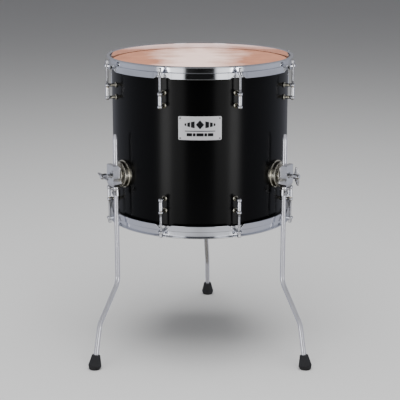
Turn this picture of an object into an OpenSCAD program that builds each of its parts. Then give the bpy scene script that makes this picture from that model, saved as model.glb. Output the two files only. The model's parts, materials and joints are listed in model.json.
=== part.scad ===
// Floor tom: a plywood drum on three adjustable legs, with a head and a pressed hoop at each end.
// Millimetres. +Z is up and the feet stand on z = 0. The front, with the badge, faces -Y.
// Angles round the drum are measured from the front towards +X.

/* [Shell] */
// Outside diameter of the shell
shell_d = 406.4; // [330:0.1:500]
// Depth of the shell between its bearing edges
shell_depth = 355.6; // [300:0.1:440]
// Thickness of the plywood wall
shell_wall = 7; // [5:0.5:9]
// Width of the flat crest of a bearing edge
edge_crest = 1.5; // [0.5:0.25:2.5]
// Height of the lower hoop's rim above the floor
rim_clearance = 312.4; // [290:0.1:420]
// Bore of the air vent
vent_bore_d = 9; // [6:0.5:12]

/* [Heads] */
// Thickness of a drumhead film
film_t = 0.3; // [0.2:0.05:0.5]
// Gap between the shell and the film's collar
collar_gap = 0.6; // [0.4:0.1:1.2]
// Depth of the film's collar below its playing face
collar_drop = 8; // [6:0.5:10]
// Radial width of a flesh hoop
flesh_w = 6; // [4:0.5:7]
// Height of a flesh hoop
flesh_h = 8.8; // [6:0.2:10]

/* [Hoops] */
// Thickness of the pressed hoop steel
hoop_t = 2.3; // [1.6:0.1:2.6]
// Diameter of the rolled bead on the hoop's two free edges
bead_d = 2.9; // [2.7:0.1:3.4]
// Overall height of a hoop
hoop_h = 28; // [25:0.5:32]
// Height of the hoop's lip beyond the bearing edge
hoop_rise = 12.65; // [10:0.05:15]
// Height of the hoop's upper wall, from the lip down to the flange
hoop_wall_h = 16.4; // [14:0.1:19]
// Gap between the shell and the hoop's upper wall
hoop_gap = 3.7; // [2.5:0.1:5]
// Radial width of the lip, wall included
lip_w = 8.1; // [5:0.1:10]
// Gap between the flesh hoop and the hoop's skirt
skirt_gap = 1.3; // [0.5:0.1:2.5]
// Half width of the skirt's notch at the flange
notch_top = 5.5; // [5:0.5:9]
// Half width of the skirt's notch at its open edge
notch_mouth = 20; // [12:0.5:24]
// Radius of the ear round a tension rod
ear_r = 7; // [6:0.25:8]

/* [Tension rods] */
// Diameter of a tension rod
rod_d = 5.5; // [4.5:0.1:6.5]
// Distance from the shell to a tension rod's axis
rod_standoff = 21.8; // [20:0.1:28]
// Width of the square key head
key_w = 6.35; // [5.5:0.05:7]
// Height of the square key head
key_h = 8.5; // [6:0.5:10]
// Diameter of the collar under the key head
rod_collar_d = 11; // [9:0.5:13]
// Thickness of the collar under the key head
rod_collar_t = 2; // [1:0.25:3]
// Diameter of the washer under the collar
rod_washer_d = 13; // [11.5:0.5:14]
// Thickness of the washer under the collar
rod_washer_t = 1.2; // [0.8:0.1:2]
// Depth that a rod reaches into its lug
rod_engage = 17; // [10:0.5:19]

/* [Lugs] */
// Distance from the bearing edge to the lug's rod-side ball
lug_inset = 46.9; // [40:0.1:60]
// Distance between the lug's two balls
lug_span = 26.7; // [24:0.1:40]
// Diameter of a lug ball
ball_d = 11; // [10:0.25:13]
// Diameter of the tube between the balls
lug_tube_d = 8.8; // [8.4:0.1:10]
// Diameter of a lug post
post_d = 7; // [6:0.25:9]
// Diameter of a lug post's foot
post_foot_d = 12; // [10:0.5:16]
// Thickness of a lug post's foot
post_foot_t = 2.5; // [1.5:0.25:4]
// Thickness of a lug gasket
lug_gasket_t = 1; // [0.5:0.1:2]
// Outside diameter of the threaded insert in the tube
insert_d = 7; // [6.6:0.1:7.2]
// Length of the threaded insert
insert_l = 14; // [8:0.5:18]
// Diameter of a lug screw
lug_screw_d = 4; // [3:0.25:4.5]
// Depth of a lug screw's thread in its post
lug_screw_engage = 9; // [6:0.5:11]

/* [Leg brackets] */
// Angle of the two front brackets either side of the front
bracket_angle = 57; // [50:0.5:58]
// Angle of the rear bracket
rear_angle = 176; // [170:0.5:190]
// Height of a bracket's centre above the lower hoop's rim
bracket_rise = 124.6; // [120:0.1:150]
// Diameter of the bracket's cup at the shell
cup_d = 63; // [58:0.5:70]
// Diameter of the cup's front face
cup_face_d = 58; // [54:0.5:62]
// Distance from the shell to the cup's front face
cup_depth = 14; // [11:0.5:15]
// Thickness of the cup's wall
cup_wall = 9; // [8:0.5:12]
// Thickness of the cup's front face
cup_face_t = 4; // [3:0.5:6]
// Thickness of the bracket's gasket
bracket_gasket_t = 1.2; // [0.6:0.1:2]
// Tangential width of the clamp block
block_w = 30; // [26:0.5:36]
// Distance from the leg's axis to the block's outer face
block_out = 14.7; // [13.5:0.1:18]
// Distance from the leg's axis to the block's inner face
block_in = 7.3; // [6.5:0.1:8]
// Height of the block's outer edge above the bracket's centre
block_top_out = 25; // [18:0.5:30]
// Height of the block's inner edge above the bracket's centre
block_top_in = 14; // [10:0.5:18]
// Depth of the block below the bracket's centre
block_drop = 28; // [22:0.5:32]
// Diameter of a bracket screw
bracket_screw_d = 5; // [4:0.5:6]
// Depth of a bracket screw's thread in the cup
bracket_screw_engage = 8; // [5:0.5:9]

/* [Leg clamps] */
// Outside diameter of the eyebolt's eye
eye_d = 18.6; // [17:0.2:20]
// Height of the eyebolt's eye
eye_h = 9; // [7:0.5:11]
// Diameter of the eyebolt's stud
stud_d = 6; // [5:0.5:7]
// Length of the stud beyond the clamp block
stud_reach = 24; // [20:0.5:30]
// Diameter of the washer under a wing nut
wing_washer_d = 14; // [11:0.5:18]
// Thickness of the washer under a wing nut
wing_washer_t = 2; // [1:0.25:3]
// Diameter of the wing nut's neck
wing_neck_d = 9; // [8:0.25:11]
// Length of the wing nut's neck
wing_neck_l = 7; // [4:0.5:9]
// Diameter of the wing nut's hub
wing_hub_d = 13; // [12:0.5:16]
// Length of the wing nut's hub
wing_hub_l = 15; // [12:0.5:18]
// Distance between the wing nut's tips
wing_span = 46; // [36:0.5:56]
// Thickness of a wing
wing_t = 4; // [3:0.25:5]

/* [Legs] */
// Diameter of a leg rod
leg_d = 11; // [9.5:0.1:12]
// Distance from the shell to the straight part of a leg
leg_standoff = 23; // [22:0.1:28]
// Height of a leg's top above its bracket's centre
leg_above = 92.7; // [75:0.1:120]
// Length of the pencil taper at a leg's top
leg_taper = 14; // [8:0.5:20]
// Diameter of a leg's tip
leg_tip_d = 6.5; // [5:0.25:8]
// Height of the upper bend above the floor
knee_z = 182.7; // [165:0.1:200]
// Height of the lower bend above the floor
ankle_z = 100.1; // [80:0.1:115]
// Sideways reach of the leg at its lower bend
ankle_reach = 70.8; // [50:0.1:90]
// Sideways reach of the leg where its foot meets the floor
foot_reach = 94.3; // [80:0.1:110]
// Radius of a leg's bends at its axis
bend_r = 38; // [20:1:60]
// Angle of the front legs' bends either side of the front
splay_angle = 33; // [20:0.5:60]
// Angle of the rear leg's bend
rear_splay_angle = 177; // [170:0.5:190]

/* [Memory locks] */
// Outside diameter of a memory lock's ring
lock_d = 19; // [18:0.5:21]
// Height of a memory lock's ring
lock_h = 14; // [12:0.5:18]
// Diameter of the lock's neck
lock_neck_d = 15; // [14:0.5:16]
// Height of the lock's neck
lock_neck_h = 5; // [3:0.5:7]
// Reach of the lock's ears from the leg's axis
lock_ear_reach = 15.5; // [14:0.5:17]
// Width of the two ears together
lock_ear_w = 12; // [10:0.5:14]
// Width of the split between the ears
lock_split = 1.6; // [1:0.1:2.5]
// Diameter of the lock's key bolt
lock_bolt_d = 4.5; // [3.5:0.25:5]

/* [Feet] */
// Height of a rubber foot along its leg
foot_h = 33; // [28:0.5:42]
// Diameter of a foot's top
foot_top_d = 19.5; // [17:0.5:22]
// Greatest diameter of a foot
foot_d = 30.5; // [26:0.5:36]
// Height of the greatest diameter along the leg
foot_bulge_h = 8; // [7:0.5:10]
// Radius of the rounded rim at the greatest diameter
foot_rim_r = 3; // [2:0.5:4]
// Thickness of rubber under the end of the leg
foot_sole_t = 9; // [6:0.5:12]

/* [Badge] */
// Width of the badge
badge_w = 94; // [70:1:120]
// Height of the badge
badge_h = 52; // [36:1:70]
// Thickness of the badge
badge_t = 1; // [0.6:0.1:1.5]
// Radius of the badge's corners
badge_corner_r = 3; // [2:0.5:3.5]
// Height of the badge's centre above the lower hoop's rim
badge_rise = 246.5; // [230:0.5:255]
// Distance from the badge's edges to a rivet
rivet_inset = 4; // [3.5:0.25:6]
// Diameter of a rivet's head
rivet_head_d = 3.4; // [2.5:0.1:4]
// Diameter of a rivet's shank
rivet_d = 1.6; // [1.2:0.1:2]

/* [Fits] */
// Radial running clearance of legs, bolts and nuts that turn or slide
run_fit = 0.06; // [0.04:0.01:0.1]
// Radial clearance of a screw or insert in its thread
thread_fit = 0.05; // [0.02:0.01:0.1]
// Radial clearance of a screw or rod in a plain hole
hole_fit = 0.4; // [0.2:0.05:0.6]
// Gap between faces that turn against each other
face_gap = 0.1; // [0.05:0.05:0.3]

/* [Hidden] */
$fn = 64;
eps = 0.01;
lug_count = 8;
lug_step = 360 / lug_count;

// Radii round the drum
shell_r = shell_d / 2;
shell_in = shell_r - shell_wall;
film_in = shell_r + collar_gap;
film_out = film_in + film_t;
flesh_out = film_out + flesh_w;
skirt_in = flesh_out + skirt_gap;
skirt_out = skirt_in + hoop_t;
wall_in = shell_r + hoop_gap;
wall_out = wall_in + hoop_t;
lip_r = wall_in + lip_w;
rod_r = shell_r + rod_standoff;
leg_r = shell_r + leg_standoff;
cup_face = shell_r + cup_depth;
block_face = leg_r + block_out;
stud_end = block_face + stud_reach;

// Heights above the floor
edge_low = rim_clearance + hoop_rise;
edge_high = edge_low + shell_depth;
mid_z = (edge_low + edge_high) / 2;
bracket_z = rim_clearance + bracket_rise;
badge_z = rim_clearance + badge_rise;
leg_top = bracket_z + leg_above;
lock_top = bracket_z - block_drop - 3 * face_gap;
lock_ring_top = lock_top - lock_neck_h;
lock_low = lock_ring_top - lock_h;
lock_mid = lock_low + lock_h / 2;

// Heights measured from a bearing edge, outwards along the drum's axis
flange_low = hoop_rise - hoop_wall_h;
flange_high = flange_low + hoop_t;
skirt_low = hoop_rise - hoop_h;
washer_high = flange_high + rod_washer_t;
collar_low = washer_high + face_gap;
collar_high = collar_low + rod_collar_t;
key_high = collar_high + key_h;
rod_low = -lug_inset - rod_engage;
insert_high = -lug_inset - 3;

// Small shared details
screw_head_h = 2.8;
washer_t = 1;
lug_washer_d = 10;
bracket_washer_d = 16;
bracket_bolt_r = (cup_face_d - cup_wall) / 2;
vent_angle = 135;
vent_wall = 0.8;
vent_flange_w = 4;
vent_flange_t = 1.2;
lock_bolt_x = lock_d / 2 + lock_bolt_d / 2 - 0.7;
lock_bolt_head_h = 6;
// The bolt's collar stays clear of the lock's round ring
lock_bolt_collar_r = lock_bolt_x - sqrt(pow(lock_d / 2, 2) - pow(lock_ear_w / 2, 2)) - face_gap;
wing_tip_d = 6;

// Each leg: the angle of its bracket, the angle of its bend, and the turn of its wing nut
LEFT = [-bracket_angle, -splay_angle, 80];
RIGHT = [bracket_angle, splay_angle, 12];
REAR = [rear_angle, rear_splay_angle, 35];
LEGS = [LEFT, RIGHT, REAR];

// Lean of a leg's two lower stretches from the vertical
knee_lean = atan2(ankle_reach, knee_z - ankle_z);
ankle_lean = atan2(foot_reach - ankle_reach, ankle_z);

// The origin lies under the middle of the drum's and feet's outline, seen from above
function foot_extent(leg, facing) =
    leg_r * cos(leg[0] - facing)
    + (foot_reach - foot_bulge_h * sin(ankle_lean)) * cos(leg[1] - facing)
    + (foot_d / 2 - foot_rim_r) * sqrt(1 - pow(sin(ankle_lean) * cos(leg[1] - facing), 2))
    + foot_rim_r;
front_y = max(lip_r, foot_extent(RIGHT, 0));
rear_y = max(lip_r, foot_extent(REAR, 180));
axis_y = (front_y - rear_y) / 2;

// ---- places ----

// On the drum's axis, at height z
module on_axis(z = 0) translate([0, axis_y, z]) children();

// At an angle round the drum: +X points outwards, +Y along the shell and +Z up
module around(a, z = 0) on_axis(z) rotate([0, 0, a - 90]) children();

// At the upper bearing edge, and mirrored at the lower one
module at_batter_edge() on_axis(edge_high) children();
module at_resonant_edge() on_axis(edge_low) mirror([0, 0, 1]) children();

// At each lug's angle, in the frame of a bearing edge
module each_lug() for (i = [0:lug_count - 1]) rotate([0, 0, (i + 0.5) * lug_step - 90]) children();

// At one leg's axis, with +X outwards from the drum
module at_leg(leg) around(leg[0]) translate([leg_r, 0, 0]) children();

// A round bar along +X
module bar(r, from, to) translate([from, 0, 0]) rotate([0, 90, 0]) cylinder(r = r, h = to - from);

// A layer of the given thickness outside the shell, reaching half_h above and below
module shell_layer(t, half_h) difference() {
    translate([0, 0, -half_h]) cylinder(r = shell_r + t, h = 2 * half_h, $fn = 180);
    translate([0, 0, -half_h - 1]) cylinder(r = shell_r, h = 2 * half_h + 2, $fn = 180);
}

// A square of the given size with round corners
module rounded_rect(w, h, r) {
    square([w - 2 * r, h], center = true);
    square([w, h - 2 * r], center = true);
    for (x = [-1, 1], y = [-1, 1]) translate([x * (w / 2 - r), y * (h / 2 - r)]) circle(r = r);
}

// ---- shell ----

// Both ends of every lug, as places on the shell
module each_lug_post() {
    for (inset = [lug_inset, lug_inset + lug_span]) {
        at_batter_edge() each_lug() translate([0, 0, -inset]) children();
        at_resonant_edge() each_lug() translate([0, 0, -inset]) children();
    }
}

// The four screws of every bracket, as places on the shell
module each_bracket_screw() for (leg = LEGS) around(leg[0], bracket_z)
    for (turn = [45:90:315]) rotate([turn, 0, 0]) translate([0, 0, bracket_bolt_r]) children();

// The badge's four rivets, as places on the shell
module each_rivet() around(0, badge_z)
    for (y = [-1, 1], z = [-1, 1])
        translate([0, y * (badge_w / 2 - rivet_inset), z * (badge_h / 2 - rivet_inset)]) children();

module shell() color("#101012") difference() {
    on_axis(edge_low) rotate_extrude($fn = 180) polygon([
        [shell_in, shell_wall - edge_crest],
        [shell_r - edge_crest, 0],
        [shell_r - edge_crest / 2, 0],
        [shell_r, edge_crest / 2],
        [shell_r, shell_depth - edge_crest / 2],
        [shell_r - edge_crest / 2, shell_depth],
        [shell_r - edge_crest, shell_depth],
        [shell_in, shell_depth - shell_wall + edge_crest]
    ]);
    each_lug_post() bar(lug_screw_d / 2 + hole_fit, shell_in - 2, shell_r + 2);
    each_bracket_screw() bar(bracket_screw_d / 2 + hole_fit, shell_in - 5, shell_r + 2);
    each_rivet() bar(rivet_d / 2 + thread_fit, shell_in + 2, shell_r + 2);
    around(vent_angle, mid_z) bar(vent_bore_d / 2 + vent_wall + thread_fit, shell_in - 2, shell_r + 2);
}

module vent_grommet() color("#c8ccd2") around(vent_angle, mid_z) difference() {
    union() {
        intersection() {
            bar(vent_bore_d / 2 + vent_flange_w, shell_in, shell_r + 5);
            shell_layer(vent_flange_t, vent_bore_d + vent_flange_w);
        }
        bar(vent_bore_d / 2 + vent_wall, shell_in - 2, shell_r + vent_flange_t / 2);
    }
    bar(vent_bore_d / 2, shell_in - 5, shell_r + 5);
}

module vent_ring() color("#c8ccd2") around(vent_angle, mid_z) difference() {
    bar(vent_bore_d / 2 + vent_flange_w, shell_in - 1.6, shell_in - 0.6);
    bar(vent_bore_d / 2 + vent_wall + thread_fit, shell_in - 5, shell_r);
}

module badge() color("#b9babd") difference() {
    around(0, badge_z) intersection() {
        translate([shell_r - 10, 0, 0]) rotate([90, 0, 90]) linear_extrude(20)
            rounded_rect(badge_w, badge_h, badge_corner_r);
        shell_layer(badge_t, badge_h);
    }
    each_rivet() bar(rivet_d / 2 + thread_fit, shell_r - 10, shell_r + 10);
}

// A rivet sits square to the curved badge at its own angle
rivet_face = sqrt(pow(shell_r + badge_t, 2) - pow(badge_w / 2 - rivet_inset - rivet_head_d / 2, 2));
module badge_rivets() color("#d5d7da") each_rivet() {
    bar(rivet_d / 2, shell_in + 2 + thread_fit, rivet_face + 0.3);
    translate([rivet_face, 0, 0]) rotate([0, 90, 0]) intersection() {
        cylinder(d = rivet_head_d, h = rivet_head_d);
        translate([0, 0, -rivet_head_d / 2]) sphere(r = rivet_head_d * 0.75);
    }
}

// ---- heads and hoops, in the frame of a bearing edge ----

// The film lies flat on the bearing edge's crest, then folds over its chamfer with a little slack
film_slack = 0.05;
film_fold = collar_gap + edge_crest / 2 - film_slack;
fold_shift = film_t * tan(22.5);
module head_film() rotate_extrude($fn = 180) polygon([
    [0, 0], [film_in - film_fold, 0], [film_in, -film_fold], [film_in, -collar_drop],
    [film_out, -collar_drop], [film_out, fold_shift - film_fold],
    [film_in - film_fold + fold_shift, film_t], [0, film_t]
]);

module flesh_hoop() rotate_extrude($fn = 180)
    translate([film_out, flange_low - flesh_h]) square([flesh_w, flesh_h]);

// The pressed section: lip, wall, flange and skirt, with rolled free edges
module hoop_section() {
    translate([wall_in, hoop_rise - bead_d / 2 - hoop_t / 2]) square([lip_w - bead_d / 2, hoop_t]);
    translate([lip_r - bead_d / 2, hoop_rise - bead_d / 2]) circle(d = bead_d);
    translate([wall_in, flange_low]) square([hoop_t, hoop_wall_h - bead_d / 2]);
    translate([wall_in, flange_low]) square([skirt_out - wall_in, hoop_t]);
    translate([skirt_in, skirt_low + bead_d / 2]) square([hoop_t, flange_high - skirt_low - bead_d / 2]);
    translate([skirt_in + hoop_t / 2, skirt_low + bead_d / 2]) circle(d = bead_d);
}

// A notch leaves a short lip of skirt under the flange
notch_lip = 0.4;
module hoop_notch() translate([flesh_out, 0, 0]) rotate([90, 0, 90]) linear_extrude(rod_standoff)
    polygon([
        [-notch_top, flange_low - notch_lip], [notch_top, flange_low - notch_lip],
        [notch_mouth, skirt_low - 1], [-notch_mouth, skirt_low - 1]
    ]);

// The ear grows out of the middle of the skirt, and narrows a hair before its round end
ear_start = skirt_in + hoop_t / 2;
ear_root = ear_r - 0.2;
module hoop_ear() translate([0, 0, flange_low]) {
    translate([rod_r, 0, 0]) cylinder(r = ear_r, h = hoop_t);
    translate([ear_start, -ear_root, 0]) cube([rod_r - ear_start, 2 * ear_root, hoop_t]);
}

module hoop() difference() {
    union() {
        difference() {
            rotate_extrude($fn = 180) hoop_section();
            each_lug() hoop_notch();
        }
        each_lug() hoop_ear();
    }
    each_lug() translate([rod_r, 0, flange_low - 1]) cylinder(r = rod_d / 2 + hole_fit, h = hoop_t + 2);
}

module batter_film() color("#e9dcd2") at_batter_edge() head_film();
module resonant_film() color("#e9e9ea") at_resonant_edge() head_film();
module batter_flesh_hoop() color("#a9adb2") at_batter_edge() flesh_hoop();
module resonant_flesh_hoop() color("#a9adb2") at_resonant_edge() flesh_hoop();
module batter_hoop() color("#c2c5cf") at_batter_edge() hoop();
module resonant_hoop() color("#c2c5cf") at_resonant_edge() hoop();

// ---- lugs and tension rods, in the frame of a bearing edge ----

// One post from the shell out to its ball
module lug_post() {
    intersection() {
        bar(post_foot_d / 2, shell_in, shell_r + lug_gasket_t + post_foot_t);
        difference() {
            translate([0, 0, -post_foot_d]) cylinder(r = rod_r, h = 2 * post_foot_d, $fn = 180);
            translate([0, 0, -post_foot_d - 1])
                cylinder(r = shell_r + lug_gasket_t, h = 2 * post_foot_d + 2, $fn = 180);
        }
    }
    bar(post_d / 2, shell_r + lug_gasket_t + 1, rod_r);
    translate([rod_r, 0, 0]) sphere(d = ball_d);
}

module lug() difference() {
    union() {
        translate([0, 0, -lug_inset]) lug_post();
        translate([0, 0, -lug_inset - lug_span]) lug_post();
        translate([rod_r, 0, -lug_inset - lug_span]) cylinder(d = lug_tube_d, h = lug_span);
    }
    for (inset = [lug_inset, lug_inset + lug_span]) translate([0, 0, -inset])
        bar(lug_screw_d / 2 + thread_fit, shell_in, shell_r + lug_gasket_t + lug_screw_engage + 1);
    translate([rod_r, 0, -lug_inset - lug_span + ball_d / 2])
        cylinder(r = rod_d / 2 + hole_fit, h = lug_span + ball_d);
    translate([rod_r, 0, insert_high - insert_l - thread_fit])
        cylinder(r = insert_d / 2 + thread_fit, h = insert_l + 2 * thread_fit);
}

module lug_insert() translate([rod_r, 0, insert_high - insert_l]) difference() {
    cylinder(d = insert_d, h = insert_l);
    translate([0, 0, -1]) cylinder(r = rod_d / 2 + run_fit, h = insert_l + 2);
}

module tension_rod() translate([rod_r, 0, 0]) {
    translate([0, 0, rod_low]) cylinder(d = rod_d, h = collar_low - rod_low + eps);
    translate([0, 0, collar_low]) cylinder(d = rod_collar_d, h = rod_collar_t);
    translate([0, 0, collar_high - eps]) intersection() {
        translate([-key_w / 2, -key_w / 2, 0]) cube([key_w, key_w, key_h + eps]);
        cylinder(r1 = key_w, r2 = key_w * 0.62, h = key_h + eps);
    }
}

module rod_washer() translate([rod_r, 0, flange_high]) difference() {
    cylinder(d = rod_washer_d, h = rod_washer_t);
    translate([0, 0, -1]) cylinder(r = rod_d / 2 + hole_fit, h = rod_washer_t + 2);
}

module one_lug(i) rotate([0, 0, (i - 0.5) * lug_step - 90]) children();
module batter_rod(i) color("#b9bcc4") at_batter_edge() one_lug(i) tension_rod();
module resonant_rod(i) color("#b9bcc4") at_resonant_edge() one_lug(i) tension_rod();

module batter_lugs() color("#bfc0c2") at_batter_edge() each_lug() lug();
module resonant_lugs() color("#bfc0c2") at_resonant_edge() each_lug() lug();
module batter_rod_washers() color("#d0d2d6") at_batter_edge() each_lug() rod_washer();
module resonant_rod_washers() color("#d0d2d6") at_resonant_edge() each_lug() rod_washer();

module lug_inserts() color("#b8965a") {
    at_batter_edge() each_lug() lug_insert();
    at_resonant_edge() each_lug() lug_insert();
}

module lug_gaskets() color("#1c1c1e") each_lug_post() difference() {
    intersection() {
        bar(post_foot_d / 2, shell_in, shell_r + 5);
        shell_layer(lug_gasket_t, post_foot_d);
    }
    bar(lug_screw_d / 2 + hole_fit, shell_in - 1, shell_r + 6);
}

// A flat washer and a screw head that seat inside the curved shell
function seat(r) = sqrt(pow(shell_in, 2) - pow(r, 2));

module inner_washer(d, bore_r) difference() {
    bar(d / 2, seat(d / 2) - washer_t, seat(d / 2));
    bar(bore_r, seat(d / 2) - washer_t - 1, seat(d / 2) + 1);
}

module inner_screw(d, washer_d, tip) {
    head_face = seat(washer_d / 2) - washer_t;
    difference() {
        bar(d, head_face - screw_head_h, head_face);
        bar(d / 2, head_face - screw_head_h - 1, head_face - screw_head_h / 2);
    }
    bar(d / 2, head_face - eps, tip);
}

module lug_washers() color("#9a9ca0") each_lug_post() inner_washer(lug_washer_d, lug_screw_d / 2 + hole_fit);
module lug_screws() color("#8f9195") each_lug_post()
    inner_screw(lug_screw_d, lug_washer_d, shell_r + lug_gasket_t + lug_screw_engage);

// ---- leg brackets, in the frame of a bracket's centre with +X outwards ----

module bracket_cup() intersection() {
    rotate([0, 90, 0]) rotate_extrude($fn = 96) polygon([
        [0, cup_face - cup_face_t], [cup_face_d / 2 - cup_wall, cup_face - cup_face_t],
        [cup_face_d / 2 - cup_wall, shell_in], [cup_d / 2, shell_in],
        [cup_d / 2, shell_r + bracket_gasket_t + 2], [cup_face_d / 2, shell_r + bracket_gasket_t + 4],
        [cup_face_d / 2, cup_face - 2], [cup_face_d / 2 - 2, cup_face], [0, cup_face]
    ]);
    difference() {
        translate([0, 0, -cup_d]) cylinder(r = leg_r, h = 2 * cup_d, $fn = 180);
        translate([0, 0, -cup_d - 1]) cylinder(r = shell_r + bracket_gasket_t, h = 2 * cup_d + 2, $fn = 180);
    }
}

// Four windows in the cup's face, leaving webs between them
window_out = cup_face_d / 2 - cup_wall + 1;
window_in = block_w / 3;
module cup_windows() for (turn = [0:90:270]) rotate([turn + 15, 0, 0]) rotate([0, 90, 0])
    translate([0, 0, shell_r]) rotate_extrude(angle = 60) translate([window_in, 0])
        square([window_out - window_in, cup_depth + 5]);

// The clamp block: its side outline, rounded below, cut by its front outline
block_round = 9;
module block_side() {
    polygon([
        [cup_face - 2, -block_drop + block_round], [leg_r - block_in + block_round, -block_drop],
        [block_face - block_round / 2, -block_drop], [block_face, -block_drop + block_round],
        [block_face, block_top_out - 2], [block_face - 2, block_top_out],
        [leg_r + leg_d / 2, block_top_out], [leg_r - block_in, block_top_in], [cup_face - 2, block_top_in]
    ]);
}
module block_front() {
    translate([-block_w / 2, -block_drop + block_round])
        square([block_w, block_drop + block_top_out - block_round - 3]);
    translate([-block_w / 2 + 3, -block_drop]) square([block_w - 6, block_drop + block_top_out]);
    for (y = [-1, 1]) {
        translate([y * (block_w / 2 - 3), block_top_out - 3]) circle(r = 3);
        translate([y * (block_w / 2 - block_round), -block_drop + block_round]) circle(r = block_round);
    }
}
module clamp_block() intersection() {
    translate([0, block_w / 2, 0]) rotate([90, 0, 0]) linear_extrude(block_w) block_side();
    translate([shell_r, 0, 0]) rotate([90, 0, 90]) linear_extrude(60) difference() {
        block_front();
        for (y = [-1, 1]) translate([y * block_w / 2, -block_drop]) difference() {
            square(2 * block_round, center = true);
            translate([-y * block_round, block_round]) circle(r = block_round);
        }
    }
}

module bracket(leg) color("#b4b5ba") around(leg[0], bracket_z) difference() {
    union() {
        difference() {
            bracket_cup();
            cup_windows();
        }
        clamp_block();
    }
    translate([leg_r, 0, -100]) cylinder(r = leg_d / 2 + run_fit, h = 200);
    translate([leg_r, 0, -eye_h / 2 - hole_fit]) cylinder(r = eye_d / 2 + hole_fit, h = eye_h + 2 * hole_fit);
    translate([cup_face - cup_face_t - 1, -eye_d / 2 - hole_fit, -eye_h / 2 - hole_fit])
        cube([leg_r - cup_face + cup_face_t + 1, eye_d + 2 * hole_fit, eye_h + 2 * hole_fit]);
    bar(stud_d / 2 + hole_fit, leg_r, block_face + 1);
    for (turn = [45:90:315]) rotate([turn, 0, 0]) translate([0, 0, bracket_bolt_r])
        bar(bracket_screw_d / 2 + thread_fit, shell_in, shell_r + bracket_gasket_t + bracket_screw_engage + 1);
}

module bracket_left() bracket(LEFT);
module bracket_right() bracket(RIGHT);
module bracket_rear() bracket(REAR);

module bracket_gaskets() color("#1c1c1e") for (leg = LEGS) around(leg[0], bracket_z) difference() {
    intersection() {
        bar(cup_d / 2, shell_in, shell_r + 5);
        shell_layer(bracket_gasket_t, cup_d);
    }
    bar(cup_face_d / 2 - cup_wall, shell_in - 20, shell_r + 6);
    for (turn = [45:90:315]) rotate([turn, 0, 0]) translate([0, 0, bracket_bolt_r])
        bar(bracket_screw_d / 2 + hole_fit, shell_in - 20, shell_r + 6);
}

// The bracket screws lie off the bracket's centre line, where the shell's inner face curves away
bracket_seat = sqrt(pow(shell_in, 2) - pow(bracket_bolt_r * sin(45) + bracket_washer_d / 2, 2));
module bracket_washers() color("#9a9ca0") each_bracket_screw() difference() {
    bar(bracket_washer_d / 2, bracket_seat - washer_t, bracket_seat);
    bar(bracket_screw_d / 2 + hole_fit, bracket_seat - washer_t - 1, bracket_seat + 1);
}
module bracket_screws() color("#8f9195") each_bracket_screw() {
    difference() {
        bar(bracket_screw_d, bracket_seat - washer_t - screw_head_h, bracket_seat - washer_t);
        bar(bracket_screw_d / 2, bracket_seat - washer_t - screw_head_h - 1,
            bracket_seat - washer_t - screw_head_h / 2);
    }
    bar(bracket_screw_d / 2, bracket_seat - washer_t - eps,
        shell_r + bracket_gasket_t + bracket_screw_engage);
}

// ---- leg clamps ----

module eyebolts() color("#a8a9ae") for (leg = LEGS) around(leg[0], bracket_z) difference() {
    union() {
        translate([leg_r, 0, -eye_h / 2]) cylinder(d = eye_d, h = eye_h);
        bar(stud_d / 2, leg_r + leg_d / 2, stud_end);
    }
    translate([leg_r, 0, -eye_h]) cylinder(r = leg_d / 2 + run_fit, h = 2 * eye_h);
}

module wing_washers() color("#c9cbd0") for (leg = LEGS) around(leg[0], bracket_z) difference() {
    bar(wing_washer_d / 2, block_face, block_face + wing_washer_t);
    bar(stud_d / 2 + hole_fit, block_face - 1, block_face + wing_washer_t + 1);
}

wing_base = block_face + wing_washer_t + face_gap;
hub_base = wing_base + wing_neck_l;
hub_end = hub_base + wing_hub_l;
module wing_nut(leg) color("#d2d3d6") around(leg[0], bracket_z) rotate([leg[2], 0, 0]) difference() {
    union() {
        bar(wing_neck_d / 2, wing_base, hub_base + eps);
        bar(wing_hub_d / 2, hub_base, hub_end);
        translate([0, wing_t / 2, 0]) rotate([90, 0, 0]) linear_extrude(wing_t) for (side = [-1, 1]) {
            polygon([
                [hub_base + 1, 0], [hub_base + 1, side * wing_hub_d / 2],
                [hub_end - 3 - wing_tip_d, side * (wing_span - wing_tip_d) / 2],
                [hub_end - 3, side * (wing_span - wing_tip_d) / 2],
                [hub_end - 1, side * wing_hub_d / 2], [hub_end - 1, 0]
            ]);
            translate([hub_end - 3 - wing_tip_d / 2, side * (wing_span - wing_tip_d) / 2])
                circle(d = wing_tip_d);
        }
    }
    bar(stud_d / 2 + run_fit, wing_base - 1, hub_end + 1);
}
module wing_nut_left() wing_nut(LEFT);
module wing_nut_right() wing_nut(RIGHT);
module wing_nut_rear() wing_nut(REAR);

// ---- memory locks ----

module memory_lock(leg) color("#c4c5c8") at_leg(leg) difference() {
    union() {
        translate([0, 0, lock_low]) cylinder(d = lock_d, h = lock_h);
        translate([0, 0, lock_ring_top - eps]) cylinder(d = lock_neck_d, h = lock_neck_h + eps);
        translate([leg_d / 2 + 1, -lock_ear_w / 2, lock_low + 1])
            cube([lock_ear_reach - leg_d / 2 - 1, lock_ear_w, lock_h - 2]);
    }
    translate([0, 0, lock_low - 1]) cylinder(r = leg_d / 2 + run_fit, h = lock_h + lock_neck_h + 2);
    translate([0, -lock_split / 2, lock_low - 1]) cube([lock_ear_reach + 1, lock_split, lock_h + 1]);
    translate([lock_bolt_x, lock_ear_w, lock_mid]) rotate([90, 0, 0])
        cylinder(r = lock_bolt_d / 2 + run_fit, h = 2 * lock_ear_w);
}
module memory_lock_left() memory_lock(LEFT);
module memory_lock_right() memory_lock(RIGHT);
module memory_lock_rear() memory_lock(REAR);

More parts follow.
